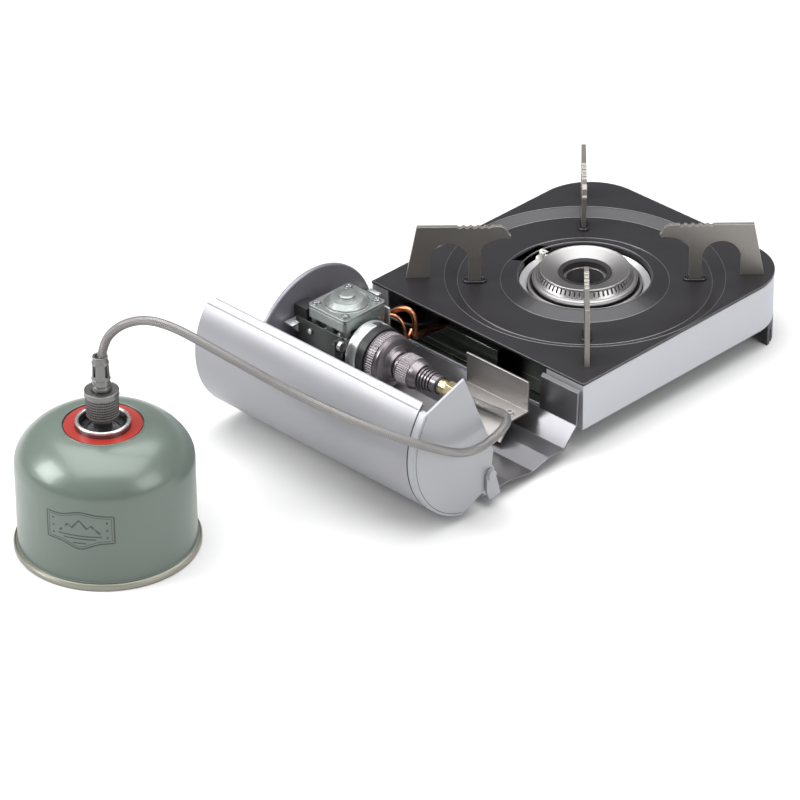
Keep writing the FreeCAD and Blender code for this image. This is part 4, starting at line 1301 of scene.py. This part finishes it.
# ---- cartridge bay ------------------------------------------------------------------------------
@dataclass
class Bay:
    """Small parts round the regulator, under the lid.

    Attributes:
        cover: Middle of the regulator's cover, at its top.
        cover_rim: Bead on the cover's rim, with its height over the cover.
        cover_boss: Bead on the cover's boss, in the same way.
        ribs: How many ribs the cover has.
        rib: Distance from the middle and height over the cover, at a rib's outer and inner end.
        gasket: Half the gasket's size along X and Y.
        gasket_z: Its lower and upper face.
        screws: Distance of the cover screws from the middle, along X and Y.
        boss_z: Lower and upper end of the screw bosses.
        post: Nearest and farthest X of the two side posts from the middle.
        post_z: Lower and upper end of the posts.
        side_plate: Blocks of the dark side plate.
        plate_screw: Y and Z of the side plate's screw.
        latch: Block of the latch tab.
        latch_rib: First of the ribs on it.
        tabs: Blocks of the other bright tabs.
        gas_route: Middle line of the gas pipe.
        probe_route: Middle line of the thermocouple tube.
        spark_route: Middle line of the igniter's lead.
        guard: Outline of the guard behind the doorway, as Y and Z.
        guard_x: Its front face, and how far back it reaches.
        flanges: Blocks of the guard's flanges.
        washer: Inner and outer radius of the heat panel screw's washer.
        cross: Half the length and half the width of a slot in that screw, drawn dark as painted shade.
    """

    cover: tuple[float, float, float] = (51.0, 29.5, 65.7)
    cover_rim: Ring = (14.6, 0.1, 0.55)
    cover_boss: Ring = (5.5, 4.2, 0.4)
    ribs: int = 8
    rib: tuple[Pair, Pair] = ((12.8, 1.2), (9.2, 3.6))
    gasket: Pair = (17.7, 16.2)
    gasket_z: Pair = (63.3, 64.0)
    screws: Pair = (13.8, 12.3)
    boss_z: Pair = (52.5, 57.2)
    post: Pair = (12.8, 15.5)
    post_z: Pair = (36.0, 55.0)
    side_plate: tuple[Block, ...] = (
        ((70.6, 5.0, 24.0), (71.5, 46.0, 55.0), 0.3),
        ((70.6, 45.1, 24.0), (76.5, 46.0, 42.0), 0.3),
    )
    plate_screw: Pair = (18.0, 49.0)
    latch: Block = ((67.5, 0.8, 50.3), (77.5, 8.2, 51.3), 0.3)
    latch_rib: Block = ((69.0, 1.6, 51.2), (70.0, 7.4, 51.7), 0.15)
    tabs: tuple[Block, ...] = (
        ((70.6, 2.0, 44.0), (71.6, 7.0, 50.6), 0.3),
        ((2.6, 2.0, 43.6), (6.4, 11.5, 44.6), 0.25),
        ((29.0, 41.0, 47.0), (30.4, 45.5, 59.0), 0.3),
    )
    gas_route: tuple[Point, ...] = (
        (33.5, 33, 47), (27, 33, 45), (21, 37, 48), (18, 43, 53), (16, 50, 54), (14.5, 53, 47), (14, 52, 36),
        (8, 47, 29), (-6, 41.5, 26.5), (-19, 47.5, 25.9),
    )
    probe_route: tuple[Point, ...] = (
        (31.5, 38, 52), (25, 40, 50.5), (21, 45, 48.5), (20, 49, 42), (19, 48.5, 35), (15, 47, 31),
        (9, 44, 34),
    )
    spark_route: tuple[Point, ...] = (
        (57, 8, 56), (40, 9, 50), (24, 14, 44), (15, 24, 40), (10, 36, 36), (2, 40, 32), (-14, 44, 30),
    )
    guard: tuple[Pair, ...] = ((35.8, 17.6), (59.8, 35.6), (66.0, 36.6), (104.0, 36.6), (104.0, 17.6))
    guard_x: Pair = (-6.0, -1.0)
    flanges: tuple[Block, ...] = (
        ((-11.0, 35.8, 17.4), (-5.6, 104.0, 18.2), 0.2),
        ((-12.0, 59.8, 36.0), (-5.8, 104.0, 36.8), 0.2),
    )
    washer: Pair = (2.2, 3.8)
    cross: Pair = (1.5, 0.3)

    def cover_beads(self) -> None:
        """Add the beads and ribs on the regulator's cover."""
        x, y, z = self.cover
        beads = Mesher()
        beads.rings(self.cover, [self.cover_rim], 72)
        beads.rings(self.cover, [self.cover_boss], 48)
        (outer, low), (inner, high) = self.rib
        for i in range(self.ribs):
            a = math.radians(360 / self.ribs * (i + 0.5))
            c, s = math.cos(a), math.sin(a)
            foot, head = (x + outer * c, y + outer * s, z + low), (x + inner * c, y + inner * s, z + high)
            beads.rod(foot, head, radius=0.35, sides=8)
        beads.piece("cover_beads", "cast_zinc", "stove")

    def regulator(self) -> None:
        """Add the casting's gasket, bosses and posts."""
        x, y, z = self.cover
        (wide, deep), (low, high) = self.gasket, self.gasket_z
        seal = Mesher()
        seal.box((x - wide, y - deep, low), (x + wide, y + deep, high), 0.1)
        seal.piece("cover_gasket", "dark_gap_and_shade", "stove")
        bosses = Mesher()
        for sx in (-1, 1):
            for sy in (-1, 1):
                bx, by = x + sx * self.screws[0], y + sy * self.screws[1]
                foot, head = ((bx, by, height) for height in self.boss_z)
                bosses.rod(foot, head, radius=3.4, sides=24, bevel=0.5)
                bosses.washer((bx, by, 0.0), (2.5, 3.0), (z + 0.02, z + 0.5), 28)
        near, far = self.post
        for left, right in ((-far, -near), (near, far)):
            bosses.box((x + left, y - 3, self.post_z[0]), (x + right, y + 3, self.post_z[1]), 0.6)
        bosses.piece("regulator_bosses", "cast_zinc", "stove")

    def bracketry(self) -> None:
        """Add the dark side plate, its screw and the bright tabs."""
        plate = Mesher()
        plate.boxes(self.side_plate)
        plate.piece("side_plate", "slide_steel", "stove")
        screw = Mesher()
        screw.rod((71.4, *self.plate_screw), (73.0, *self.plate_screw), radius=2.0, sides=24, bevel=0.4)
        screw.rod((72.9, *self.plate_screw), (73.3, *self.plate_screw), radius=1.0, sides=6)
        screw.piece("side_plate_screw", "tube_steel", "stove")
        tabs = Mesher()
        tabs.boxes([self.latch])
        tabs.row(self.latch_rib, 3, (2.6, 0.0, 0.0))
        tabs.boxes(self.tabs)
        tabs.piece("latch_tabs", "coupling_zinc", "stove")

    def pipes(self) -> None:
        """Replace the straight-run pipes with bent ones, and add the igniter's lead."""
        pipe = Mesher()
        pipe.sweep(smooth_line(self.gas_route, PIPE_STEPS), 1.8, sides=14)
        pipe.rod((33.4, 33, 47), (30.0, 33, 46), radius=3.0, sides=6, bevel=0.2)
        pipe.piece("copper_pipe", "copper", "stove", replaces=["gas_pipe"])
        probe = Mesher()
        probe.sweep(smooth_line(self.probe_route, PIPE_STEPS), 1.15, sides=12)
        probe.piece("thermocouple_tube", "copper", "stove", replaces=["thermal_lead"])
        wire = Mesher()
        wire.sweep(smooth_line(self.spark_route, PIPE_STEPS), 0.9, sides=10)
        wire.piece("spark_lead", "black_lead", "stove")

    def shield(self) -> None:
        """Add the bright guard that shows through the doorway."""
        x, reach = self.guard_x
        guard = Mesher()
        front = [guard.mesh.verts.new((x, y, z)) for y, z in self.guard]
        face = guard.mesh.faces.new(front)
        thick = bmesh.ops.extrude_face_region(guard.mesh, geom=[face])
        moved = [v for v in thick["geom"] if isinstance(v, bmesh.types.BMVert)]
        bmesh.ops.translate(guard.mesh, vec=(reach, 0, 0), verts=moved)
        guard.piece("burner_guard", "green_shield", "stove")
        flange = Mesher()
        flange.boxes(self.flanges)
        flange.piece("guard_flange", "green_shield", "stove")

    def heat_panel(self) -> None:
        """Add the washer of the heat panel's screw, and the dark cross in its head, painted shade in the
        recess.
        """
        low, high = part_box("heat_panel_screw")
        x, y = (((low + high) / 2 - ORIGIN) / MM).xy
        z = (high - ORIGIN).z / MM
        disc = Mesher()
        disc.washer((x, y, 0.0), self.washer, (z - 1.5, z - 1.0), 32)
        disc.piece("heat_panel_washer", "tube_steel", "stove")
        # the cross recess is drawn as a dark cross: painted shade
        cross = Mesher()
        for dx, dy in (self.cross, self.cross[::-1]):
            cross.box((x - dx, y - dy, z - 0.2), (x + dx, y + dy, z + 0.06))
        cross.piece("heat_panel_screw_cross_shade", "dark_gap_and_shade", "stove")

    def build(self) -> None:
        """Make everything in the bay."""
        self.cover_beads()
        self.regulator()
        self.bracketry()
        self.pipes()
        self.shield()
        self.heat_panel()


# ---- lid ----------------------------------------------------------------------------------------
@dataclass
class LidTrim:
    """Beads and joints of the open lid, and a painted shade line on its end cap.

    Attributes:
        centre: Middle of the lid's round section when closed.
        radius: Outer radius of that section.
        hinge: Hinge axis, as X and Z.
        opening: How far the lid is open, in degrees.
        lip: Angle of the shell's front lip.
        cap_lip: Angle of the end cap's front edge.
        side: Angle where the round section ends.
        ends: Front end, joint and rear end along Y.
        roll: Radius of the rolled lip.
        roll_start: Y where the roll begins, clear of the front panel.
        hem: How far behind the lip the hem's bead lies, in degrees.
        hem_line: How far behind it the dark line's two edges lie.
        joint_half: Half the width of the joint with the end cap.
        cap_beads: Depth below the surface, distance along Y and section radius of the cap's two beads,
            the first measured from the rear end and the second from the joint.
        cap_line: Depth of the two edges of the dark line on the cap's end, painted shade where its face bends
            into the rim.
    """

    centre: Pair = (50.0, 25.0)
    radius: float = 53.2
    hinge: Pair = (84.9, 23.2)
    opening: float = 105.0
    lip: float = 147.0
    cap_lip: float = 140.0
    side: float = 29.4
    ends: tuple[float, float, float] = (-4.0, 178.15, 184.0)
    roll: float = 0.85
    roll_start: float = 1.2
    hem: float = 4.4
    hem_line: Pair = (4.95, 5.2)
    joint_half: float = 0.45
    cap_beads: tuple[Ring, Ring] = ((0.45, -0.45, 0.5), (0.2, 1.2, 0.28))
    cap_line: Pair = (1.5, 1.85)

    def on(self, depth: float, angle: float, y: float) -> Vector:
        """Point of the section, with the lid open.

        Args:
            depth: Distance below the outer surface.
            angle: Angle in the section.
            y: Distance along the lid.

        Returns:
            The point, in stove millimetres.
        """
        a, turn, radius = math.radians(angle), math.radians(self.opening), self.radius - depth
        dx = self.centre[0] + radius * math.cos(a) - self.hinge[0]
        dz = self.centre[1] + radius * math.sin(a) - self.hinge[1]
        x = self.hinge[0] + dx * math.cos(turn) + dz * math.sin(turn)
        return Vector((x, y, self.hinge[1] - dx * math.sin(turn) + dz * math.cos(turn)))

    def arc(self, depth: float, start: float, y: float, steps: int = 60) -> list[Vector]:
        """Points along the section, down to where its round part ends.

        Args:
            depth: Distance below the outer surface.
            start: First angle.
            y: Distance along the lid.
            steps: Intervals.

        Returns:
            The points.
        """
        return [self.on(depth, start + (self.side - start) * i / steps, y) for i in range(steps + 1)]

    def run(self, depth: float, angle: float, start: float, end: float) -> list[Vector]:
        """Both ends of a straight line along the lid.

        Args:
            depth: Distance below the outer surface.
            angle: Angle in the section.
            start: Y of its front end.
            end: Y of its rear end.

        Returns:
            The two points.
        """
        return [self.on(depth, angle, start), self.on(depth, angle, end)]

    def build(self) -> None:
        """Make the lid's trim."""
        front, joint, rear = self.ends
        hem = (front + 1.0, joint - 1.0)
        lip = Mesher()
        lip.sweep(self.run(self.roll, self.lip, self.roll_start, joint - 0.6), self.roll, sides=12)
        lip.sweep(self.run(0.1, self.lip - self.hem, *hem), 0.32, sides=8)
        lip.piece("lid_lip_roll", "lid_silver", "lid")
        groove = Mesher()
        groove.ribbon(*(self.arc(-0.04, self.lip - 0.5, joint + s * self.joint_half) for s in (-1, 1)))
        groove.ribbon(*(self.run(-0.03, self.lip - behind, *hem) for behind in self.hem_line))
        groove.piece("lid_joint", "dark_gap_and_shade", "lid")
        rim = Mesher()
        for end, (depth, shift, thick), sides in zip((rear, joint), self.cap_beads, (10, 8)):
            rim.sweep(self.arc(depth, self.cap_lip, end + shift), thick, sides)
        rim.piece("lid_cap_rim", "lid_silver", "lid")
        # dark line round the cap's face: painted shade on the bend into the rim
        line = Mesher()
        line.ribbon(*(self.arc(depth, self.cap_lip + 0.5, rear + 0.03) for depth in self.cap_line))
        line.piece("lid_cap_shade_line", "dark_gap_and_shade", "lid")


# ---- controls -----------------------------------------------------------------------------------
@dataclass
class FrontTrim:
    """Marks and grips on the front panel, knob and lever.

    Attributes:
        knob: Middle of the knob, as X and Z.
        face: Y of the knob's face.
        panel: Y of the panel's front.
        ridges: How many grip ridges the knob has.
        ridge_radius: Distance of a ridge from the knob's middle.
        ridge_run: Start and end of a ridge behind the knob's face.
        pointer: Start and end of the pointer above the knob's middle.
        travel: Angle that the dial's marks cover, in degrees.
        marks: How many marks it has.
        mark_start: Distance of the marks from the knob's middle.
        mark_ends: Outer end of the two end marks, and of the others.
        grip_rib: Lowest of the ribs on the lever's grip.
        guides: Blocks beside the lever's slot.
    """

    knob: Pair = (50.0, 41.0)
    face: float = -20.0
    panel: float = -3.3
    ridges: int = 36
    ridge_radius: float = 16.95
    ridge_run: Pair = (1.8, 10.2)
    pointer: Pair = (3.0, 15.0)
    travel: float = 110.0
    marks: int = 12
    mark_start: float = 20.6
    mark_ends: Pair = (23.6, 22.2)
    grip_rib: Block = ((8.6, -12.3, 31.4), (19.4, -11.7, 32.4), 0.2)
    guides: tuple[Block, ...] = (
        ((10.6, -3.9, 30.4), (11.6, -3.2, 51.6), 0.2),
        ((16.4, -3.9, 30.4), (17.4, -3.2, 51.6), 0.2),
    )

    def knob_trim(self) -> None:
        """Add the knob's ridges and pointer."""
        x, z = self.knob
        start, end = self.ridge_run
        ridges = Mesher()
        for i in range(self.ridges):
            a = 2 * math.pi * i / self.ridges
            rx, rz = x + self.ridge_radius * math.cos(a), z + self.ridge_radius * math.sin(a)
            ridges.rod((rx, self.face + start, rz), (rx, self.face + end, rz), radius=0.5, sides=8)
        ridges.piece("knob_ridges", "knob_plastic", "knob")
        low, high = self.pointer
        mark = Mesher()
        mark.box((x - 0.5, self.face - 0.05, z + low), (x + 0.5, self.face + 0.3, z + high))
        mark.piece("knob_pointer", "mark_white", "knob")

    def dial(self) -> None:
        """Add the marks round the knob, from off at the top to full."""
        middle = Vector((self.knob[0], self.panel - 0.04, self.knob[1]))
        last = self.marks - 1
        dial = Mesher()
        for i in range(self.marks):
            a = math.radians(90 - self.travel * i / last)
            out, half = Vector((math.cos(a), 0, math.sin(a))), Vector((-math.sin(a), 0, math.cos(a))) * 0.3
            reach = self.mark_ends[0] if i in (0, last) else self.mark_ends[1]
            start, end = middle + out * self.mark_start, middle + out * reach
            dial.ribbon([start - half, end - half], [start + half, end + half])
        dial.piece("dial_marks", "mark_white", "stove")

    def lever(self) -> None:
        """Add the ribs on the lever's grip and the guides beside its slot."""
        grip = Mesher()
        grip.row(self.grip_rib, 3, (0.0, 0.0, 2.2))
        grip.piece("lever_grip", "knob_plastic", "lock_lever")
        guide = Mesher()
        guide.boxes(self.guides)
        guide.piece("lever_guide", "panel_grey", "stove")

    def build(self) -> None:
        """Make the front trim."""
        self.knob_trim()
        self.dial()
        self.lever()


# ---- adapter and canister -----------------------------------------------------------------------
@dataclass
class AdapterTrim:
    """Seals and rings on the adapter, placed by their distance along Y.

    Attributes:
        axis: Its axis, as X and Z.
        seals: Rubber rings in the finned neck, and the washer behind the nut.
        rings: Beads on the knurled disc and the neck.
        collar: Beads on the collar that turns.
        coupling: Beads on the regulator's coupling ring.
        fitting: Beads on the brass fitting.
    """

    axis: Pair = (53.0, 41.0)
    seals: tuple[Ring, ...] = (
        (5.6, 100.55, 0.5), (5.6, 102.85, 0.5), (5.6, 105.15, 0.5), (5.1, 112.75, 0.75),
    )
    rings: tuple[Ring, ...] = ((16.7, 62.9, 0.4), (16.7, 70.4, 0.45), (11.6, 74.6, 0.35))
    collar: tuple[Ring, ...] = ((10.1, 82.5, 0.35), (10.0, 92.2, 0.35))
    coupling: tuple[Ring, ...] = ((16.2, 56.4, 0.4), (18.3, 48.6, 0.5))
    fitting: tuple[Ring, ...] = ((4.6, 113.2, 0.35), (4.65, 116.2, 0.3), (3.8, 125.2, 0.35))

    def build(self) -> None:
        """Make the adapter's trim."""
        pieces = (
            ("adapter_seals", "black_lead", "stove", self.seals),
            ("adapter_rings", "adapter_metal", "stove", self.rings),
            ("collar_rings", "adapter_metal", "adapter_collar", self.collar),
            ("coupling_beads", "coupling_zinc", "stove", self.coupling),
            ("fitting_rings", "brass", "stove", self.fitting),
        )
        for name, slot, body, rings in pieces:
            tool = Mesher()
            tool.rings((self.axis[0], 0.0, self.axis[1]), rings, 64, axis=Axis.Y)
            tool.piece(name, slot, body)


@dataclass
class CanisterTrim:
    """Badge, beads and connector details of the canister, with painted shade in the valve cup and the
    collar's grooves.

    Heights of the connector and the valve cup are measured from the canister's top edge.

    Attributes:
        axis: Its axis, as X and Y.
        radius: Radius of its side.
        top: Height of its top edge.
        badge: First and last angle of the badge, in degrees.
        badge_scale: Width that turns an inset into a share of the badge.
        badge_top: Height of its top edge, rise in the middle, and swing from end to end.
        badge_foot: The same of its lower edge.
        inner_frame: Inset and width of the badge's second line.
        peaks: Line of hills, as (share across, height).
        levels: Height, start and end of the level lines.
        dots: Heights of the dots at each end.
        mouth: Bead round the mouth.
        foot: Height and section radius of the bead above the base, and how far it stands out.
        roll: Rolled edge of the valve cup.
        liner: Profile of the dark lining inside the cup, painted shade.
        seam: Rings on the base rim, with their heights over the table.
        dimples: How many dimples the cup has, drawn dark as painted shade.
        dimple_radius: Their distance from the axis.
        groove: First of the dark rings in the collar's grooves, painted shade.
        collar: Rings on the collar.
        sleeve: Rings on the hose sleeve.
        pin: Half the length of the pin through the sleeve, its height and its radius.
    """

    axis: Pair = (269.5, 46.0)
    radius: float = 53.8
    top: float = 81.5
    badge: Pair = (8.5, 53.0)
    badge_scale: float = 40.0
    badge_top: Ring = (50.2, 2.6, 0.54)
    badge_foot: Ring = (32.0, -4.4, 0.0)
    inner_frame: Pair = (1.4, 0.35)
    peaks: tuple[Pair, ...] = (
        (0.2, 38.5), (0.33, 44.0), (0.39, 41.8), (0.5, 47.2), (0.61, 41.8), (0.67, 44.0), (0.8, 38.5),
    )
    levels: tuple[Ring, ...] = ((36.6, 0.18, 0.82), (34.6, 0.26, 0.74), (31.6, 0.4, 0.6))
    dots: tuple[float, ...] = (36.0, 41.0, 46.0)
    mouth: Ring = (24.7, -0.1, 0.55)
    foot: Ring = (4.4, 0.5, 0.1)
    roll: Ring = (15.4, 2.3, 1.2)
    liner: tuple[Pair, ...] = ((9.9, -3.0), (14.3, -3.0), (14.5, 0.2), (13.9, 0.2), (13.7, -2.3), (9.9, -2.3))
    seam: tuple[Ring, ...] = ((55.6, 3.5, 0.5), (55.6, 0.9, 0.5))
    dimples: int = 12
    dimple_radius: float = 12.6
    groove: Ring = (9.72, 8.6, 0.22)
    collar: tuple[Ring, ...] = ((10.2, 20.6, 0.4), (10.0, 23.4, 0.4))
    sleeve: tuple[Ring, ...] = ((5.4, 31.6, 0.4), (4.9, 42.2, 0.35), (4.3, 46.2, 0.4))
    pin: Ring = (5.6, 29.2, 0.7)

    def on(self, share: float, z: float, proud: float = 0.05) -> Vector:
        """Point on the side.

        Args:
            share: Place across the badge, from 0 to 1.
            z: Height.
            proud: Distance outside the side.

        Returns:
            The point, in stove millimetres.
        """
        a = math.radians(self.badge[0] + (self.badge[1] - self.badge[0]) * share)
        r = self.radius + proud
        return Vector((self.axis[0] + r * math.cos(a), self.axis[1] + r * math.sin(a), z))

    def stroke(self, tool: Mesher, points: Sequence[Pair], width: float, closed: bool = False) -> None:
        """Draw a line on the side.

        Args:
            tool: Mesh to add it to.
            points: Places as (share across, height).
            width: Width of the line.
            closed: Whether it is a loop.
        """
        span = math.radians(self.badge[1] - self.badge[0]) * self.radius
        flat = [Vector((s * span, z)) for s, z in points]
        left, right = [], []
        count = len(flat)
        for i, p in enumerate(flat):
            before = flat[i - 1] if i or closed else p
            after = flat[(i + 1) % count] if i < count - 1 or closed else p
            run = (after - before).normalized()
            side = Vector((-run.y, run.x)) * width / 2
            left.append(self.on((p + side).x / span, (p + side).y))
            right.append(self.on((p - side).x / span, (p - side).y))
        tool.ribbon(left, right, closed)

    def wave(self, shape: Ring, inset: float, lift: float, steps: int = 40) -> list[Pair]:
        """One waved edge of the badge, from its first end to its last.

        Args:
            shape: Height, rise in the middle, and swing from end to end.
            inset: How far inside the outer line its ends lie.
            lift: How far it is moved up.
            steps: Intervals along it.

        Returns:
            Places as (share across, height).
        """
        height, rise, swing = shape
        share = inset / self.badge_scale
        line = []
        for i in range(steps + 1):
            s = i / steps
            wave = rise * math.exp(-(((s - 0.5) / WAVE_WIDTH) ** 2)) - swing * math.sin(2 * math.pi * s)
            line.append((share + s * (1 - 2 * share), height + wave + lift))
        return line

    def frame_line(self, inset: float) -> list[Pair]:
        """Outline of the badge: straight sides, a waved top edge and a bulging foot.

        Args:
            inset: How far inside the outer line.

        Returns:
            Places as (share across, height).
        """
        return self.wave(self.badge_top, inset, -inset) + self.wave(self.badge_foot, inset, inset)[::-1]

    def label(self) -> None:
        """Draw a plain badge with no lettering."""
        ink = Mesher()
        self.stroke(ink, self.frame_line(0.0), 0.8, closed=True)
        inset, thin = self.inner_frame
        self.stroke(ink, self.frame_line(inset), thin, closed=True)
        self.stroke(ink, self.peaks, 1.3)
        for z, start, end in self.levels:
            self.stroke(ink, [(start + (end - start) * i / 12, z) for i in range(13)], 0.75)
        for s in (0.1, 0.9):
            for z in self.dots:
                self.stroke(ink, [(s - 0.014, z), (s + 0.014, z)], 1.3)
        ink.piece("canister_badge", "ink", "stove", crease=180)

    def valve(self) -> None:
        """Add the beads of the shell, the valve cup's roll, painted shade inside the cup, and the base seam.
        """
        x, y = self.axis
        head, base = (x, y, self.top), (x, y, 0.0)
        height, thick, proud = self.foot
        beads = Mesher()
        beads.rings(head, [self.mouth], 96, sides=10)
        beads.rings(base, [(self.radius + proud, height, thick)], 96)
        beads.piece("canister_beads", "canister_green", "stove")
        roll = Mesher()
        roll.rings(head, [self.roll], 80, sides=14)
        roll.piece("cup_roll", "cup_roll", "stove")
        # dark lining and dark dimples: painted shade inside the valve cup
        inside = Mesher()
        inside.lathe(self.liner, head, 72)
        for i in range(self.dimples):
            a = 2 * math.pi * i / self.dimples
            px, py = x + self.dimple_radius * math.cos(a), y + self.dimple_radius * math.sin(a)
            inside.rod((px, py, self.top - 2.4), (px, py, self.top - 1.6), radius=0.7, sides=12, bevel=0.2)
        inside.piece("cup_shade_lining", "black_lead", "stove")
        seam = Mesher()
        seam.rings(base, self.seam, 96)
        seam.piece("canister_seam", "canister_rim", "stove")

    def connector(self) -> None:
        """Add the painted shade in the connector's grooves, and its rings."""
        x, y = self.axis
        head = (x, y, self.top)
        radius, first, thick = self.groove
        # dark rings in the collar's grooves: painted shade
        cuts = Mesher()
        cuts.rings(head, [(radius, first + 1.7 * i, thick) for i in range(7)], 64, sides=6)
        cuts.piece("valve_collar_groove_shade", "dark_gap_and_shade", "valve_collar")
        beads = Mesher()
        beads.rings(head, self.collar, 72)
        beads.piece("valve_collar_rings", "connector_metal", "valve_collar")
        half, height, thick = self.pin
        sleeve = Mesher()
        sleeve.rings(head, self.sleeve, 48)
        pin = [(x + side * half, y, self.top + height) for side in (-1, 1)]
        sleeve.rod(*pin, radius=thick, sides=12, bevel=0.15)
        sleeve.piece("sleeve_rings", "connector_metal", "stove")

    def build(self) -> None:
        """Make the canister's trim."""
        self.label()
        self.valve()
        self.connector()


def main() -> None:
    """Build the scene."""
    logging.basicConfig(level=logging.INFO, format="%(message)s")
    Studio().build()
    LOG.info("studio ready")
    Hose().build()
    LOG.info("hose ready")
    LOG.info("%d CAD nodes dressed", PALETTE.dress())
    for group in (HobTrim(), BurnerTrim(), Bay(), LidTrim(), FrontTrim(), AdapterTrim(), CanisterTrim()):
        group.build()
        LOG.info("%s built", type(group).__name__)


if __name__ == "__main__":
    main()
